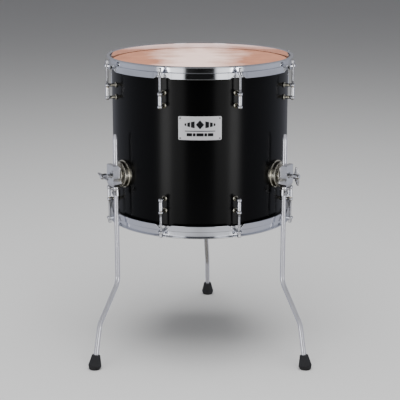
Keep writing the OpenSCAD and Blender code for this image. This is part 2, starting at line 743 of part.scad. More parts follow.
// The key bolt's head faces the front of the drum
module key_bolt(leg) {
    side = leg[0] < 0 ? 1 : -1;
    color("#c9cbd0") at_leg(leg) translate([lock_bolt_x, 0, lock_mid]) rotate([-90 * side, 0, 0]) {
        translate([0, 0, -lock_ear_w / 2 - 2]) cylinder(d = lock_bolt_d, h = lock_ear_w + 2 + face_gap + eps);
        translate([0, 0, lock_ear_w / 2 + face_gap]) cylinder(r = lock_bolt_collar_r, h = 1.6);
        translate([-key_w / 2, -key_w / 2, lock_ear_w / 2 + face_gap + 1])
            cube([key_w, key_w, lock_bolt_head_h]);
    }
}
module key_bolt_left() key_bolt(LEFT);
module key_bolt_right() key_bolt(RIGHT);
module key_bolt_rear() key_bolt(REAR);

// ---- legs and feet ----

// A leg's own plane: +X is the way it bends, +Z is up
module in_leg_plane(leg) around(leg[0]) translate([leg_r, 0, 0]) rotate([0, 0, leg[1] - leg[0]]) children();

knee_tangent = bend_r * tan(knee_lean / 2);
ankle_turn = knee_lean - ankle_lean;
ankle_tangent = bend_r * tan(ankle_turn / 2);
shin_l = norm([ankle_reach, knee_z - ankle_z]) - knee_tangent - ankle_tangent;
foot_axis_l = norm([foot_reach - ankle_reach, ankle_z]);

straight_l = leg_top - knee_z - knee_tangent;
// A bend is a hair thicker than the straight rod, which laps a little way into it
bend_swell = 0.1;
bend_lap = 0.3;

// A round bend: it starts downwards at the origin and turns towards +X through the angle
module bend(turn) translate([bend_r, 0, 0]) rotate([90, 0, 0]) rotate([0, 0, 180])
    rotate_extrude(angle = turn) translate([bend_r, 0]) circle(d = leg_d + bend_swell);

module leg(leg) color("#c3c4ca") in_leg_plane(leg) {
    translate([0, 0, knee_z + knee_tangent]) {
        rotate_extrude() polygon([
            [0, -bend_lap], [leg_d / 2, -bend_lap],
            [leg_d / 2, straight_l - leg_taper], [leg_tip_d / 2, straight_l], [0, straight_l]
        ]);
        bend(knee_lean);
    }
    translate([0, 0, knee_z]) rotate([0, -knee_lean, 0]) translate([0, 0, -knee_tangent - shin_l]) {
        translate([0, 0, -bend_lap]) cylinder(d = leg_d, h = shin_l + 2 * bend_lap);
        rotate([0, 0, 180]) bend(ankle_turn);
    }
    translate([foot_reach, 0, 0]) rotate([0, -ankle_lean, 0]) translate([0, 0, foot_sole_t])
        cylinder(d = leg_d, h = foot_axis_l - ankle_tangent - foot_sole_t + bend_lap);
}
module leg_left() leg(LEFT);
module leg_right() leg(RIGHT);
module leg_rear() leg(REAR);

// The foot's half section: a cone that swells to a round rim above a flat sole
module foot_section() {
    rim_r = foot_d / 2 - foot_rim_r;
    polygon([
        [0, -foot_rim_r], [rim_r - foot_rim_r, -foot_rim_r], [rim_r, 0],
        [foot_d / 2 - 0.25, foot_bulge_h + 1],
        [foot_top_d / 2, foot_h - 1.5], [foot_top_d / 2 - 1.5, foot_h], [0, foot_h]
    ]);
    translate([rim_r, foot_bulge_h]) circle(r = foot_rim_r);
}

module foot(leg) color("#2c2d2f") in_leg_plane(leg) translate([foot_reach, 0, 0]) intersection() {
    rotate([0, -ankle_lean, 0]) difference() {
        rotate_extrude() foot_section();
        translate([0, 0, foot_sole_t]) cylinder(d = leg_d, h = foot_h);
    }
    translate([-foot_d, -foot_d, 0]) cube([2 * foot_d, 2 * foot_d, 2 * foot_h]);
}
module foot_left() foot(LEFT);
module foot_right() foot(RIGHT);
module foot_rear() foot(REAR);

shell();
vent_grommet();
vent_ring();
badge();
badge_rivets();
batter_film();
batter_flesh_hoop();
batter_hoop();
resonant_film();
resonant_flesh_hoop();
resonant_hoop();
batter_lugs();
resonant_lugs();
lug_gaskets();
lug_inserts();
lug_screws();
lug_washers();
batter_rod(1);  // batter_rod_1
batter_rod(2);  // batter_rod_2
batter_rod(3);  // batter_rod_3
batter_rod(4);  // batter_rod_4
batter_rod(5);  // batter_rod_5
batter_rod(6);  // batter_rod_6
batter_rod(7);  // batter_rod_7
batter_rod(8);  // batter_rod_8
resonant_rod(1);  // resonant_rod_1
resonant_rod(2);  // resonant_rod_2
resonant_rod(3);  // resonant_rod_3
resonant_rod(4);  // resonant_rod_4
resonant_rod(5);  // resonant_rod_5
resonant_rod(6);  // resonant_rod_6
resonant_rod(7);  // resonant_rod_7
resonant_rod(8);  // resonant_rod_8
batter_rod_washers();
resonant_rod_washers();
bracket_left();
bracket_right();
bracket_rear();
bracket_gaskets();
bracket_screws();
bracket_washers();
eyebolts();
wing_washers();
wing_nut_left();
wing_nut_right();
wing_nut_rear();
memory_lock_left();
memory_lock_right();
memory_lock_rear();
key_bolt_left();
key_bolt_right();
key_bolt_rear();
leg_left();
leg_right();
leg_rear();
foot_left();
foot_right();
foot_rear();
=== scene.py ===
"""Floor tom: the visible pieces of the drum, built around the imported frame.

Each operator makes one piece, or one group of like pieces, in its finished shape and material.
Shapes are drawn in millimetres in the frame of their own place, and stored in metres.
"""

import json
import math

import bmesh
import bpy
from mathutils import Matrix, Vector


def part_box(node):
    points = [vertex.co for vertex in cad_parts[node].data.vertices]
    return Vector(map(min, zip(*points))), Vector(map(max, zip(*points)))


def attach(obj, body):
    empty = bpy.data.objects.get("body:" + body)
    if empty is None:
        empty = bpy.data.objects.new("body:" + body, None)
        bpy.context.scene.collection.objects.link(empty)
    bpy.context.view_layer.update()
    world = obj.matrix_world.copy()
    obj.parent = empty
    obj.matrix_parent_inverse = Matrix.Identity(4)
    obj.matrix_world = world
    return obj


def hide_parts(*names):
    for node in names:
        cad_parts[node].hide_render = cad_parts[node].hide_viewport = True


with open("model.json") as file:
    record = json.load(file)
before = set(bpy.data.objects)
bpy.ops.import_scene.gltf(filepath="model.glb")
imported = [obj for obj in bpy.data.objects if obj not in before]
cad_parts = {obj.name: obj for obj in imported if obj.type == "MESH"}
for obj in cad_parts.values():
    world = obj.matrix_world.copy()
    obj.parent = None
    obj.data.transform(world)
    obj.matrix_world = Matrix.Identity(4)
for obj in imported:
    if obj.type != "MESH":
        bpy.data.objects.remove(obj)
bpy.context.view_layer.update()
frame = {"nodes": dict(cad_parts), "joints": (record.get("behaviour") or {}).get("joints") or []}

bl_info = {
    "name": "Floor Tom Builder",
    "version": (1, 0, 0),
    "blender": (4, 5, 0),
    "location": "View3D > Sidebar > Floor Tom",
    "description": "Builds the shell, heads, hoops, hardware, legs and studio of a floor tom",
    "category": "Add Mesh",
}

MM = 0.001
SIDES = ("left", "right", "rear")
ENDS = ("batter", "resonant")


# ---- places and sizes read from the frame ----

def joint(name):
    """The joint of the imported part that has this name."""
    for entry in frame["joints"]:
        if entry["name"] == name:
            return entry
    raise ValueError(f"the frame has no joint named {name}")


def span(node, axis):
    """Lowest and highest coordinate of a CAD node along one axis, in millimetres."""
    low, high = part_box(node)
    return low[axis] / MM, high[axis] / MM


SHELL_LOW, SHELL_HIGH = span("shell", 2)
SHELL_R = (span("shell", 1)[1] - span("shell", 1)[0]) / 2
AXIS_Y = sum(span("shell", 1)) / 2
LIP_R = (span("batter_hoop", 1)[1] - span("batter_hoop", 1)[0]) / 2
HOOP_RISE = span("batter_hoop", 2)[1] - SHELL_HIGH
HOOP_H = span("batter_hoop", 2)[1] - span("batter_hoop", 2)[0]
FILM_T = span("batter_film", 2)[1] - SHELL_HIGH
COLLAR_DROP = SHELL_HIGH - span("batter_film", 2)[0]
FILM_R = (span("batter_film", 1)[1] - span("batter_film", 1)[0]) / 2
LUG_LOW, LUG_HIGH = span("batter_lugs", 2)
LUG_STEP = 45

# Sizes that the part's drawing fixes
SHELL_WALL = 7
HOOP_T = 2.3
HOOP_WALL_H = 16.4
WALL_IN = SHELL_R + 3.7
SKIRT_OUT = FILM_R + 6 + 1.3 + HOOP_T
BALL_D = 11
POST_D = 7
POST_FOOT_D = 12
TUBE_D = 8.8
GASKET_T = 1
BRACKET_GASKET_T = 1.2
ROD_D = 5.5
KEY_W = 6.35
LEG_D = 11
CUP_D = 63
CUP_FACE_D = 58
CUP_DEPTH = 14
BLOCK_W = 30
BLOCK_IN = 7.3
BLOCK_OUT = 14.7
BLOCK_DROP = 28
BLOCK_TOP_OUT = 25
BLOCK_TOP_IN = 14
FACE_GAP = 0.1
BEND_R = 38


def polar(x, y):
    """Radius and angle, in degrees from the front towards +X, of a place seen from above."""
    return math.hypot(x, y - AXIS_Y), math.degrees(math.atan2(x, AXIS_Y - y))


ROD_R = polar(*(v / MM for v in joint("batter_rod_1_turn")["pos_m"][:2]))[0]
LEG_R = polar(*(v / MM for v in joint("leg_left_swivel")["pos_m"][:2]))[0]


# ---- properties ----

class FloorTomSizes(bpy.types.PropertyGroup):
    """Sizes of the fine detail."""

    edge_softness: bpy.props.FloatProperty(
        name="Edge softness", description="Width of the rounded edges of castings",
        default=0.9 * MM, unit="LENGTH", precision=5)
    thread_pitch: bpy.props.FloatProperty(
        name="Thread pitch", description="Distance between the turns of a tension rod's thread",
        default=1.06 * MM, unit="LENGTH", precision=5)
    thread_depth: bpy.props.FloatProperty(
        name="Thread depth", description="Depth of a tension rod's thread",
        default=0.32 * MM, unit="LENGTH", precision=5)
    skirt_lean: bpy.props.FloatProperty(
        name="Skirt lean", description="How far a hoop's skirt flares outwards over its height", default=0.16)
    foot_flutes: bpy.props.IntProperty(
        name="Foot flutes", description="Shallow flutes moulded round a rubber foot", default=18)
    flute_depth: bpy.props.FloatProperty(
        name="Flute depth", description="Depth of a foot's flutes",
        default=0.35 * MM, unit="LENGTH", precision=5)
    enamel_height: bpy.props.FloatProperty(
        name="Enamel height", description="Height of the badge's enamel ornament",
        default=0.25 * MM, unit="LENGTH", precision=5)
    camera_distance: bpy.props.FloatProperty(
        name="Camera distance", description="Distance of the camera in front of the drum's axis",
        default=2.6644, unit="LENGTH")
    camera_height: bpy.props.FloatProperty(
        name="Camera height", description="Height of the camera above the floor",
        default=1.0463, unit="LENGTH")
    camera_pitch: bpy.props.FloatProperty(
        name="Camera pitch", description="How far the camera looks down",
        default=math.radians(14.7365), subtype="ANGLE")
    camera_lens: bpy.props.FloatProperty(
        name="Lens", description="Focal length of the camera, in millimetres", default=104.32)
    floor_size: bpy.props.FloatProperty(
        name="Floor size", description="Side of the studio floor", default=60.0, unit="LENGTH")


def colour_property(name, description, default):
    return bpy.props.FloatVectorProperty(
        name=name, description=description, default=default, size=3, min=0, max=1, subtype="COLOR")


class FloorTomColours(bpy.types.PropertyGroup):
    """Colours of the finishes, as linear values."""

    lacquer: colour_property("Lacquer", "Black lacquer of the shell", (0.0012, 0.0012, 0.0014))
    wood: colour_property("Wood", "Pale plywood inside the shell", (0.62, 0.42, 0.25))
    chrome: colour_property("Chrome", "Plated lugs, clamps and legs", (0.90, 0.905, 0.94))
    leg: colour_property("Leg chrome", "Satin plated legs", (0.80, 0.80, 0.86))
    hoop: colour_property("Hoop chrome", "Plated hoops", (0.88, 0.90, 0.96))
    casting: colour_property("Casting chrome", "Plated castings", (0.88, 0.88, 0.90))
    nickel: colour_property("Warm nickel", "Lug posts and bracket cups", (0.66, 0.63, 0.53))
    # The head's two colours are painted light: a painted reflection for its middle, and wood painted at its sides as
    # though seen through the clear film
    head_painted_reflection: colour_property("Head middle", "Playing head at its middle", (0.92, 0.68, 0.60))
    head_painted_wood: colour_property("Head side", "Playing head towards its sides", (0.42, 0.185, 0.115))
    badge: colour_property("Badge", "Brushed badge plate", (0.86, 0.86, 0.88))
    enamel: colour_property("Enamel", "Ornament on the badge", (0.008, 0.008, 0.009))
    rubber: colour_property("Rubber", "Moulded feet", (0.021, 0.021, 0.023))
    floor: colour_property("Floor", "Studio floor", (0.66, 0.66, 0.655))


def sizes():
    return bpy.context.scene.floor_tom_sizes


def colours():
    return bpy.context.scene.floor_tom_colours


# ---- frames of places, as matrices in metres ----

def on_axis(z):
    """A place on the drum's axis, at a height in millimetres."""
    return Matrix.Translation((0, AXIS_Y * MM, z * MM))


def turn_z(angle):
    """Turns +X to point outwards at an angle from the front."""
    return Matrix.Rotation(math.radians(angle - 90), 4, "Z")


def around(angle, z):
    """A place on the drum's axis turned so that +X points outwards at that angle."""
    return on_axis(z) @ turn_z(angle)


def at_edge(end):
    """The frame of a bearing edge, whose +Z points out of the drum."""
    if end == "batter":
        return on_axis(SHELL_HIGH)
    return on_axis(SHELL_LOW) @ Matrix.Scale(-1, 4, (0, 0, 1))


def lug_angles():
    return [(i + 0.5) * LUG_STEP for i in range(360 // LUG_STEP)]


def bracket_place(side):
    """The frame of a bracket's centre: +X outwards from the drum's axis, +Z up."""
    x, y, z = (v / MM for v in joint(f"wing_nut_{side}_turn")["pos_m"])
    return around(polar(x, y)[1], z)


def leg_place(side):
    """The frame of a leg's axis at floor level, with +X outwards from the drum."""
    x, y, _ = joint(f"leg_{side}_swivel")["pos_m"]
    angle = polar(x / MM, y / MM)[1]
    return Matrix.Translation((x, y, 0)) @ turn_z(angle)


# ---- outlines, in millimetres ----

def rounded(points, radius, steps=4, closed=True):
    """The outline with its corners rounded; radius is one value or one for each corner."""
    count = len(points)
    radii = radius if isinstance(radius, (list, tuple)) else [radius] * count
    outline = []
    for i, corner in enumerate(points):
        here = Vector(corner)
        if not closed and i in (0, count - 1):
            outline.append(here)
            continue
        to_last = Vector(points[i - 1]) - here
        to_next = Vector(points[(i + 1) % count]) - here
        reach = min(to_last.length, to_next.length) * 0.49
        sharp = radii[i] <= 0 or reach < 1e-4
        half = 0 if sharp else to_last.angle(to_next, math.pi) / 2
        if sharp or half > math.pi / 2 - 1e-3:
            outline.extend([here.copy() for _ in range(steps + 1)])
            continue
        tangent = min(radii[i] / math.tan(half), reach)
        arc_r = tangent * math.tan(half)
        bisector = (to_last.normalized() + to_next.normalized()).normalized()
        centre = here + bisector * (arc_r / math.sin(half))
        start = here + to_last.normalized() * tangent - centre
        end = here + to_next.normalized() * tangent - centre
        sweep = start.angle(end)
        for k in range(steps + 1):
            share = k / steps
            arm = (start * math.sin((1 - share) * sweep) + end * math.sin(share * sweep)) / math.sin(sweep)
            outline.append(centre + arm)
    return outline


def arc(centre, radius, start, end, steps):
    """Points on an arc from one angle to another, in degrees."""
    angles = [math.radians(start + (end - start) * k / steps) for k in range(steps + 1)]
    return [Vector(centre) + radius * Vector((math.cos(a), math.sin(a))) for a in angles]


def smooth_step(low, high, value):
    share = min(max((value - low) / (high - low), 0), 1)
    return share * share * (3 - 2 * share)


# ---- solids, as bmeshes in millimetres ----

def face_outwards(bm):
    """Turns every face of one closed solid to look out of it."""
    bmesh.ops.recalc_face_normals(bm, faces=bm.faces)
    if bm.calc_volume(signed=True) < 0:
        bmesh.ops.reverse_faces(bm, faces=bm.faces)


def loft(rings, wrap=False, caps=True):
    """A skin over rings of points. wrap joins the last ring to the first; caps close the ends."""
    bm = bmesh.new()
    rows = [[bm.verts.new(Vector(p).to_3d()) for p in ring] for ring in rings]
    count = len(rows[0])
    pairs = list(zip(rows, rows[1:]))
    if wrap:
        pairs.append((rows[-1], rows[0]))
    for low, high in pairs:
        for i in range(count):
            j = (i + 1) % count
            bm.faces.new((low[i], low[j], high[j], high[i]))
    if caps and not wrap:
        bm.faces.new(list(reversed(rows[0])))
        bm.faces.new(rows[-1])
    bmesh.ops.remove_doubles(bm, verts=bm.verts, dist=1e-4)
    bmesh.ops.dissolve_degenerate(bm, dist=1e-5, edges=bm.edges)
    face_outwards(bm)
    return bm


def revolve(profile, segments=64, closed=False):
    """A profile of (radius, height) turned about Z. An open one starts and ends on the axis."""
    rings = []
    for radius, height in profile:
        rings.append([
            (radius * math.cos(math.tau * k / segments), radius * math.sin(math.tau * k / segments), height)
            for k in range(segments)
        ])
    return loft(rings, wrap=closed, caps=False)


def prism(outline, low, high):
    """An outline in X and Y raised from one height to another."""
    return loft([[(p[0], p[1], low) for p in outline], [(p[0], p[1], high) for p in outline]])


def sweep(path, radii, segments=40):
    """A round tube along a path in the XZ plane, with one radius for each point."""
    rings = []
    for i, point in enumerate(path):
        ahead = path[min(i + 1, len(path) - 1)]
        behind = path[max(i - 1, 0)]
        tangent = (Vector(ahead) - Vector(behind)).normalized()
        side = Vector((0, 1, 0))
        up = side.cross(tangent)
        rings.append([
            Vector(point) + radii[i] * (side * math.cos(a) + up * math.sin(a))
            for a in (math.tau * k / segments for k in range(segments))
        ])
    return loft(rings)


def key_head(stations):
    """The square head that a drum key turns: stations give a height and a share of its full width."""
    half = KEY_W / 2
    square = rounded([(-half, -half), (half, -half), (half, half), (-half, half)], 0.75, 5)
    return loft([[(p[0] * share, p[1] * share, height) for p in square] for height, share in stations])


def moved(bm, matrix):
    bm.transform(matrix)
    if matrix.to_3x3().determinant() < 0:
        bmesh.ops.reverse_faces(bm, faces=bm.faces)
    return bm


def along_x(bm):
    """Turns a solid made about Z so that it lies along +X."""
    return moved(bm, Matrix.Rotation(math.radians(90), 4, "Y"))


def joined(solids):
    """Several solids as one."""
    result = bmesh.new()
    for solid in solids:
        part = bpy.data.meshes.new("part")
        solid.to_mesh(part)
        result.from_mesh(part)
        bpy.data.meshes.remove(part)
        solid.free()
    return result


def copies(solid, places):
    """The solid repeated at each place."""
    result = joined([moved(solid.copy(), place) for place in places])
    solid.free()
    return result


def soften(bm, width, angle=32, segments=3):
    """Rounds the edges that are sharper than the angle."""
    face_outwards(bm)
    sharp = [
        e for e in bm.edges
        if len(e.link_faces) == 2 and e.calc_face_angle(0) > math.radians(angle)
    ]
    bmesh.ops.bevel(
        bm, geom=sharp, offset=width, offset_type="OFFSET", segments=segments, profile=0.5,
        affect="EDGES", clamp_overlap=True)
    return bm


def placed(name, mesh):
    """A new object in the scene, with that mesh, light or camera."""
    obj = bpy.data.objects.new(name, mesh)
    bpy.context.scene.collection.objects.link(obj)
    return obj


def boolean(base, tool, operation):
    """The base cut by the tool, or kept inside it."""
    objects = []
    for solid in (base, tool):
        mesh = bpy.data.meshes.new("solid")
        solid.to_mesh(mesh)
        solid.free()
        objects.append(placed("solid", mesh))
    modifier = objects[0].modifiers.new("cut", "BOOLEAN")
    modifier.operation = operation
    modifier.solver = "EXACT"
    modifier.object = objects[1]
    bpy.context.view_layer.update()
    evaluated = objects[0].evaluated_get(bpy.context.evaluated_depsgraph_get())
    result = bmesh.new()
    result.from_mesh(evaluated.to_mesh())
    evaluated.to_mesh_clear()
    for obj in objects:
        mesh = obj.data
        bpy.data.objects.remove(obj)
        bpy.data.meshes.remove(mesh)
    if not result.faces:
        raise RuntimeError("a cut left nothing of a solid")
    bmesh.ops.remove_doubles(result, verts=result.verts, dist=1e-4)
    bmesh.ops.holes_fill(result, edges=[e for e in result.edges if e.is_boundary], sides=4)
    return result


def flatten_shading(obj):
    """Weights the normals by face area, so flat faces stay flat beside their rounded edges."""
    weighted = obj.modifiers.new("weighted_normals", "WEIGHTED_NORMAL")
    weighted.keep_sharp = True
    weighted.weight = 80
    bpy.context.view_layer.update()
    shaded = bpy.data.meshes.new_from_object(obj.evaluated_get(bpy.context.evaluated_depsgraph_get()))
    plain = obj.data
    shaded.name = plain.name + "_shaded"
    obj.modifiers.clear()
    obj.data = shaded
    bpy.data.meshes.remove(plain)


def piece(name, bm, body, materials, replaced=(), place=None, angle=35, choose=None):
    """Stores a solid as a piece that rides on a body, and hides the CAD nodes it stands for.
    choose gives a face's material index from its centre, in the frame it was drawn in."""
    materials = materials if isinstance(materials, (list, tuple)) else [materials]
    if choose:
        for face in bm.faces:
            face.material_index = choose(face)
    moved(bm, (place or Matrix.Identity(4)) @ Matrix.Scale(MM, 4))
    mesh = bpy.data.meshes.new(name)
    bm.to_mesh(mesh)
    bm.free()
    for material in materials:
        mesh.materials.append(material)
    mesh.polygons.foreach_set("use_smooth", [True] * len(mesh.polygons))
    mesh.set_sharp_from_angle(angle=math.radians(angle))
    obj = placed(name, mesh)
    flatten_shading(obj)
    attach(obj, body)
    if replaced:
        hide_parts(*replaced)
    return obj


# ---- materials ----

class Nodes:
    """A node tree under construction."""

    def __init__(self, tree):
        self.tree = tree

    def node(self, kind, **settings):
        """Adds a node; a setting that names an input socket sets or links that socket."""
        node = self.tree.nodes.new("ShaderNode" + kind)
        for key, value in settings.items():
            if key in node.bl_rna.properties:
                setattr(node, key, value)
                continue
            socket = node.inputs[int(key[1:])] if key[0] == "i" and key[1:].isdigit() else node.inputs[key]
            if isinstance(value, bpy.types.NodeSocket):
                self.tree.links.new(value, socket)
            else:
                socket.default_value = value
        return node

    def ramp(self, value, low, high, start=0.0, end=1.0, kind="LINEAR"):
        """A value stretched between two results."""
        node = self.node("MapRange", interpolation_type=kind, Value=value)
        for socket, bound in (("From Min", start), ("From Max", end), ("To Min", low), ("To Max", high)):
            node.inputs[socket].default_value = bound
        return node.outputs["Result"]

    def math(self, operation, first, second=0.0):
        return self.node("Math", operation=operation, i0=first, i1=second).outputs[0]

    def mix(self, factor, first, second):
        """A colour between two colours."""
        ends = [end if isinstance(end, bpy.types.NodeSocket) else (*end, 1) for end in (first, second)]
        return self.node("Mix", data_type="RGBA", i0=factor, i6=ends[0], i7=ends[1]).outputs[2]


class Shader(Nodes):
    """A material under construction, with its principled shader."""

    def __init__(self, name, **sockets):
        self.material = bpy.data.materials.new(name)
        self.material.use_nodes = True
        super().__init__(self.material.node_tree)
        self.surface = self.tree.nodes["Principled BSDF"]
        for socket, value in sockets.items():
            self.surface.inputs[socket.replace("_", " ")].default_value = value

    def place(self, scale=(1, 1, 1), rotation=(0, 0, 0)):
        """Object coordinates in metres, scaled."""
        coordinates = self.node("TexCoord")
        mapping = self.node("Mapping", Scale=scale, Rotation=rotation, Vector=coordinates.outputs["Object"])
        return mapping.outputs["Vector"]

    def noise(self, vector, scale, detail=3.0, roughness=0.5):
        node = self.node("TexNoise", Vector=vector, Scale=scale, Detail=detail, Roughness=roughness)
        return node.outputs["Fac"]

    def link(self, value, socket):
        self.tree.links.new(value, self.surface.inputs[socket])

    def bump(self, height, strength, distance):
        node = self.node("Bump", Strength=strength, Distance=distance, Height=height)
        self.link(node.outputs["Normal"], "Normal")


def shade(colour, factor):
    return tuple(channel * factor for channel in colour)


def chrome(name, colour, roughness=0.05, handling=0.05, metal=1.0):
    """Plated metal: a mirror with a faint haze and hairline scratches from handling."""
    shader = Shader(name, Metallic=metal)
    haze = shader.noise(shader.place(), 38.0, 4.0)
    shader.link(shader.mix(haze, shade(colour, 0.93), colour), "Base Color")
    hairline = shader.noise(shader.place((900, 900, 120)), 1.0, 2.0)
    worn = shader.math("MULTIPLY", haze, hairline)
    shader.link(shader.ramp(worn, roughness, roughness + handling, 0.15, 0.5), "Roughness")
    shader.bump(hairline, 0.02, 0.00005)
    return shader.material


def lacquer():
    """Gloss black lacquer: deep black with the faintest orange peel."""
    base = colours().lacquer
    shader = Shader("shell_lacquer", Specular_IOR_Level=0.14)
    peel = shader.noise(shader.place(), 220.0, 2.0)
    dust = shader.noise(shader.place(), 900.0, 1.0)
    shader.link(shader.mix(dust, tuple(base), shade(base, 1.5)), "Base Color")
    shader.link(shader.ramp(peel, 0.17, 0.23), "Roughness")
    shader.bump(peel, 0.03, 0.0001)
    return shader.material


def plywood():
    """Pale maple with long fine grain round the shell, and ply lines on cut edges."""
    base = colours().wood
    shader = Shader("shell_plywood", Roughness=0.5)
    grain = shader.noise(shader.place((6, 6, 160)), 1.6, 6.0, 0.6)
    pores = shader.noise(shader.place((60, 60, 900)), 1.0, 2.0)
    tone = shader.math("MULTIPLY", grain, pores)
    shader.link(shader.mix(shader.ramp(tone, 0, 1, 0.12, 0.4), shade(base, 0.72), tuple(base)), "Base Color")
    shader.link(shader.ramp(pores, 0.42, 0.6), "Roughness")
    shader.bump(pores, 0.15, 0.0003)
    return shader.material


def playing_film():
    """The batter head: wood is painted at its sides as though the shell's inside were seen through clear film, and a
    painted pale reflection fills the middle.
    """
    shader = Shader("batter_head_film", Specular_IOR_Level=0.1, IOR=1.1)
    # Painted see-through: the share of painted wood grows with distance from the middle along X, with cloudy edges
    split = shader.node("SeparateXYZ", Vector=shader.place())
    side = shader.math("ABSOLUTE", split.outputs["X"])
    clouds = shader.noise(shader.place((7, 11, 1)), 1.0, 5.0, 0.6)
    reach = shader.math("ADD", side, shader.ramp(clouds, -0.06, 0.06, 0.25, 0.75))
    painted_wood_share = shader.ramp(reach, 0, 1, 0.03, 0.115)
    streaks = shader.noise(shader.place((13, 70, 1), (0, 0, math.radians(14))), 1.0, 7.0, 0.68)
    veins = shader.noise(shader.place((30, 14, 1), (0, 0, math.radians(-32))), 1.0, 5.0, 0.7)
    figure = shader.math("ADD", shader.ramp(streaks, 0, 0.6, 0.32, 0.68), shader.ramp(veins, 0, 0.4, 0.3, 0.7))
    # Painted wood, as though seen through the film, in streaked darker and paler tones
    deep, pale = shade(colours().head_painted_wood, 0.72), shade(colours().head_painted_wood, 1.24)
    wood = shader.mix(figure, deep, pale)
    # Painted reflection for the middle, streaked lightly with the pale painted wood
    painted_reflection_streaks = shader.ramp(figure, 0.16, 0.0, 0.2, 0.8)
    painted_reflection_colour = shader.mix(painted_reflection_streaks, tuple(colours().head_painted_reflection), pale)
    shader.link(shader.mix(painted_wood_share, painted_reflection_colour, wood), "Base Color")
    shader.link(shader.ramp(clouds, 0.22, 0.38), "Roughness")
    shader.bump(shader.noise(shader.place(), 60.0, 3.0), 0.04, 0.0004)
    return shader.material


def satin_film():
    """The resonant head: a thin, slightly hazy film."""
    shader = Shader("resonant_head_film", Specular_IOR_Level=0.5)
    haze = shader.noise(shader.place(), 45.0, 4.0)
    shader.link(shader.mix(haze, (0.78, 0.78, 0.76), (0.86, 0.86, 0.85)), "Base Color")
    shader.link(shader.ramp(haze, 0.22, 0.36), "Roughness")
    shader.bump(haze, 0.03, 0.0003)
    return shader.material


def brushed(name, colour, stretch, roughness=0.3, metal=1.0):
    """Metal with fine lines along one way."""
    shader = Shader(name, Metallic=metal)
    lines = shader.noise(shader.place(stretch), 1.0, 4.0, 0.6)
    shader.link(shader.mix(lines, shade(colour, 0.82), tuple(colour)), "Base Color")
    shader.link(shader.ramp(lines, roughness - 0.05, roughness + 0.1), "Roughness")
    shader.bump(lines, 0.1, 0.00008)
    return shader.material


def rubber(name, colour, grain=700.0):
    """Matt rubber with a fine moulded grain."""
    shader = Shader(name, Specular_IOR_Level=0.35)
    skin = shader.noise(shader.place(), grain, 2.0)
    bloom = shader.noise(shader.place(), 55.0, 4.0)
    shader.link(shader.mix(bloom, shade(colour, 0.8), shade(colour, 1.35)), "Base Color")
    shader.link(shader.ramp(bloom, 0.5, 0.68), "Roughness")
    shader.bump(skin, 0.2, 0.00025)
    return shader.material


def enamel():
    """Dark satin enamel."""
    shader = Shader("badge_enamel", Specular_IOR_Level=0.12)
    skin = shader.noise(shader.place(), 400.0, 2.0)
    shader.link(shader.mix(skin, tuple(colours().enamel), shade(colours().enamel, 1.6)), "Base Color")
    shader.link(shader.ramp(skin, 0.35, 0.5), "Roughness")
    return shader.material


def studio_floor():
    """Pale matt floor with a barely visible unevenness."""
    base = colours().floor
    shader = Shader("studio_floor", Roughness=0.85, Specular_IOR_Level=0.15)
    cloud = shader.noise(shader.place(), 0.8, 3.0)
    shader.link(shader.mix(cloud, shade(base, 0.97), tuple(base)), "Base Color")
    return shader.material


class Finishes:
    """Every material, made when it is first asked for."""

    made = {}

    @classmethod
    def get(cls, name):
        if name not in cls.made:
            tints = colours()
            recipes = {
                "lacquer": lacquer,
                "plywood": plywood,
                "playing_film": playing_film,
                "satin_film": satin_film,
                "enamel": enamel,
                "floor": studio_floor,
                "chrome": lambda: chrome("plated_chrome", tuple(tints.chrome)),
                # Tension rods and key bolts: the plated chrome darkened, as painted shade that dims their reflections
                "rod": lambda: chrome("rod_chrome", shade(tints.chrome, 0.62), 0.30, 0.1),
                "rivet": lambda: chrome("rivet_steel", shade(tints.chrome, 0.16), 0.3, 0.1),
                "hoop": lambda: chrome("hoop_chrome", tuple(tints.hoop), 0.06),
                "casting": lambda: chrome("casting_chrome", tuple(tints.casting), 0.09, 0.08),
                "nickel": lambda: chrome("warm_nickel", tuple(tints.nickel), 0.2, 0.1),
                "leg": lambda: chrome("leg_chrome", tuple(tints.leg), 0.16, 0.1, 0.72),
                "badge": lambda: brushed("badge_plate", tuple(tints.badge), (60, 60, 5000), 0.42, 0.35),
                "zinc": lambda: brushed("zinc_steel", (0.55, 0.56, 0.58), (300, 300, 300), 0.38),
                "aluminium": lambda: brushed("flesh_hoop_metal", (0.66, 0.67, 0.69), (40, 40, 2500), 0.34),
                "brass": lambda: brushed("turned_brass", (0.7, 0.52, 0.24), (80, 80, 3000), 0.28),
                "rubber": lambda: rubber("foot_rubber", tuple(tints.rubber)),
                "gasket": lambda: rubber("gasket_rubber", (0.012, 0.012, 0.013), 400.0),
            }
            cls.made[name] = recipes[name]()
        return cls.made[name]


def finish_nodes(finish, *nodes):
    """Gives CAD nodes whose shape stays a finished material."""
    for node in nodes:
        obj = frame["nodes"][node]
        obj.data.materials.clear()
        obj.data.materials.append(Finishes.get(finish))


# ---- operators ----

class BuildOperator:
    """What every build operator shares."""

    bl_options = {"REGISTER", "UNDO"}


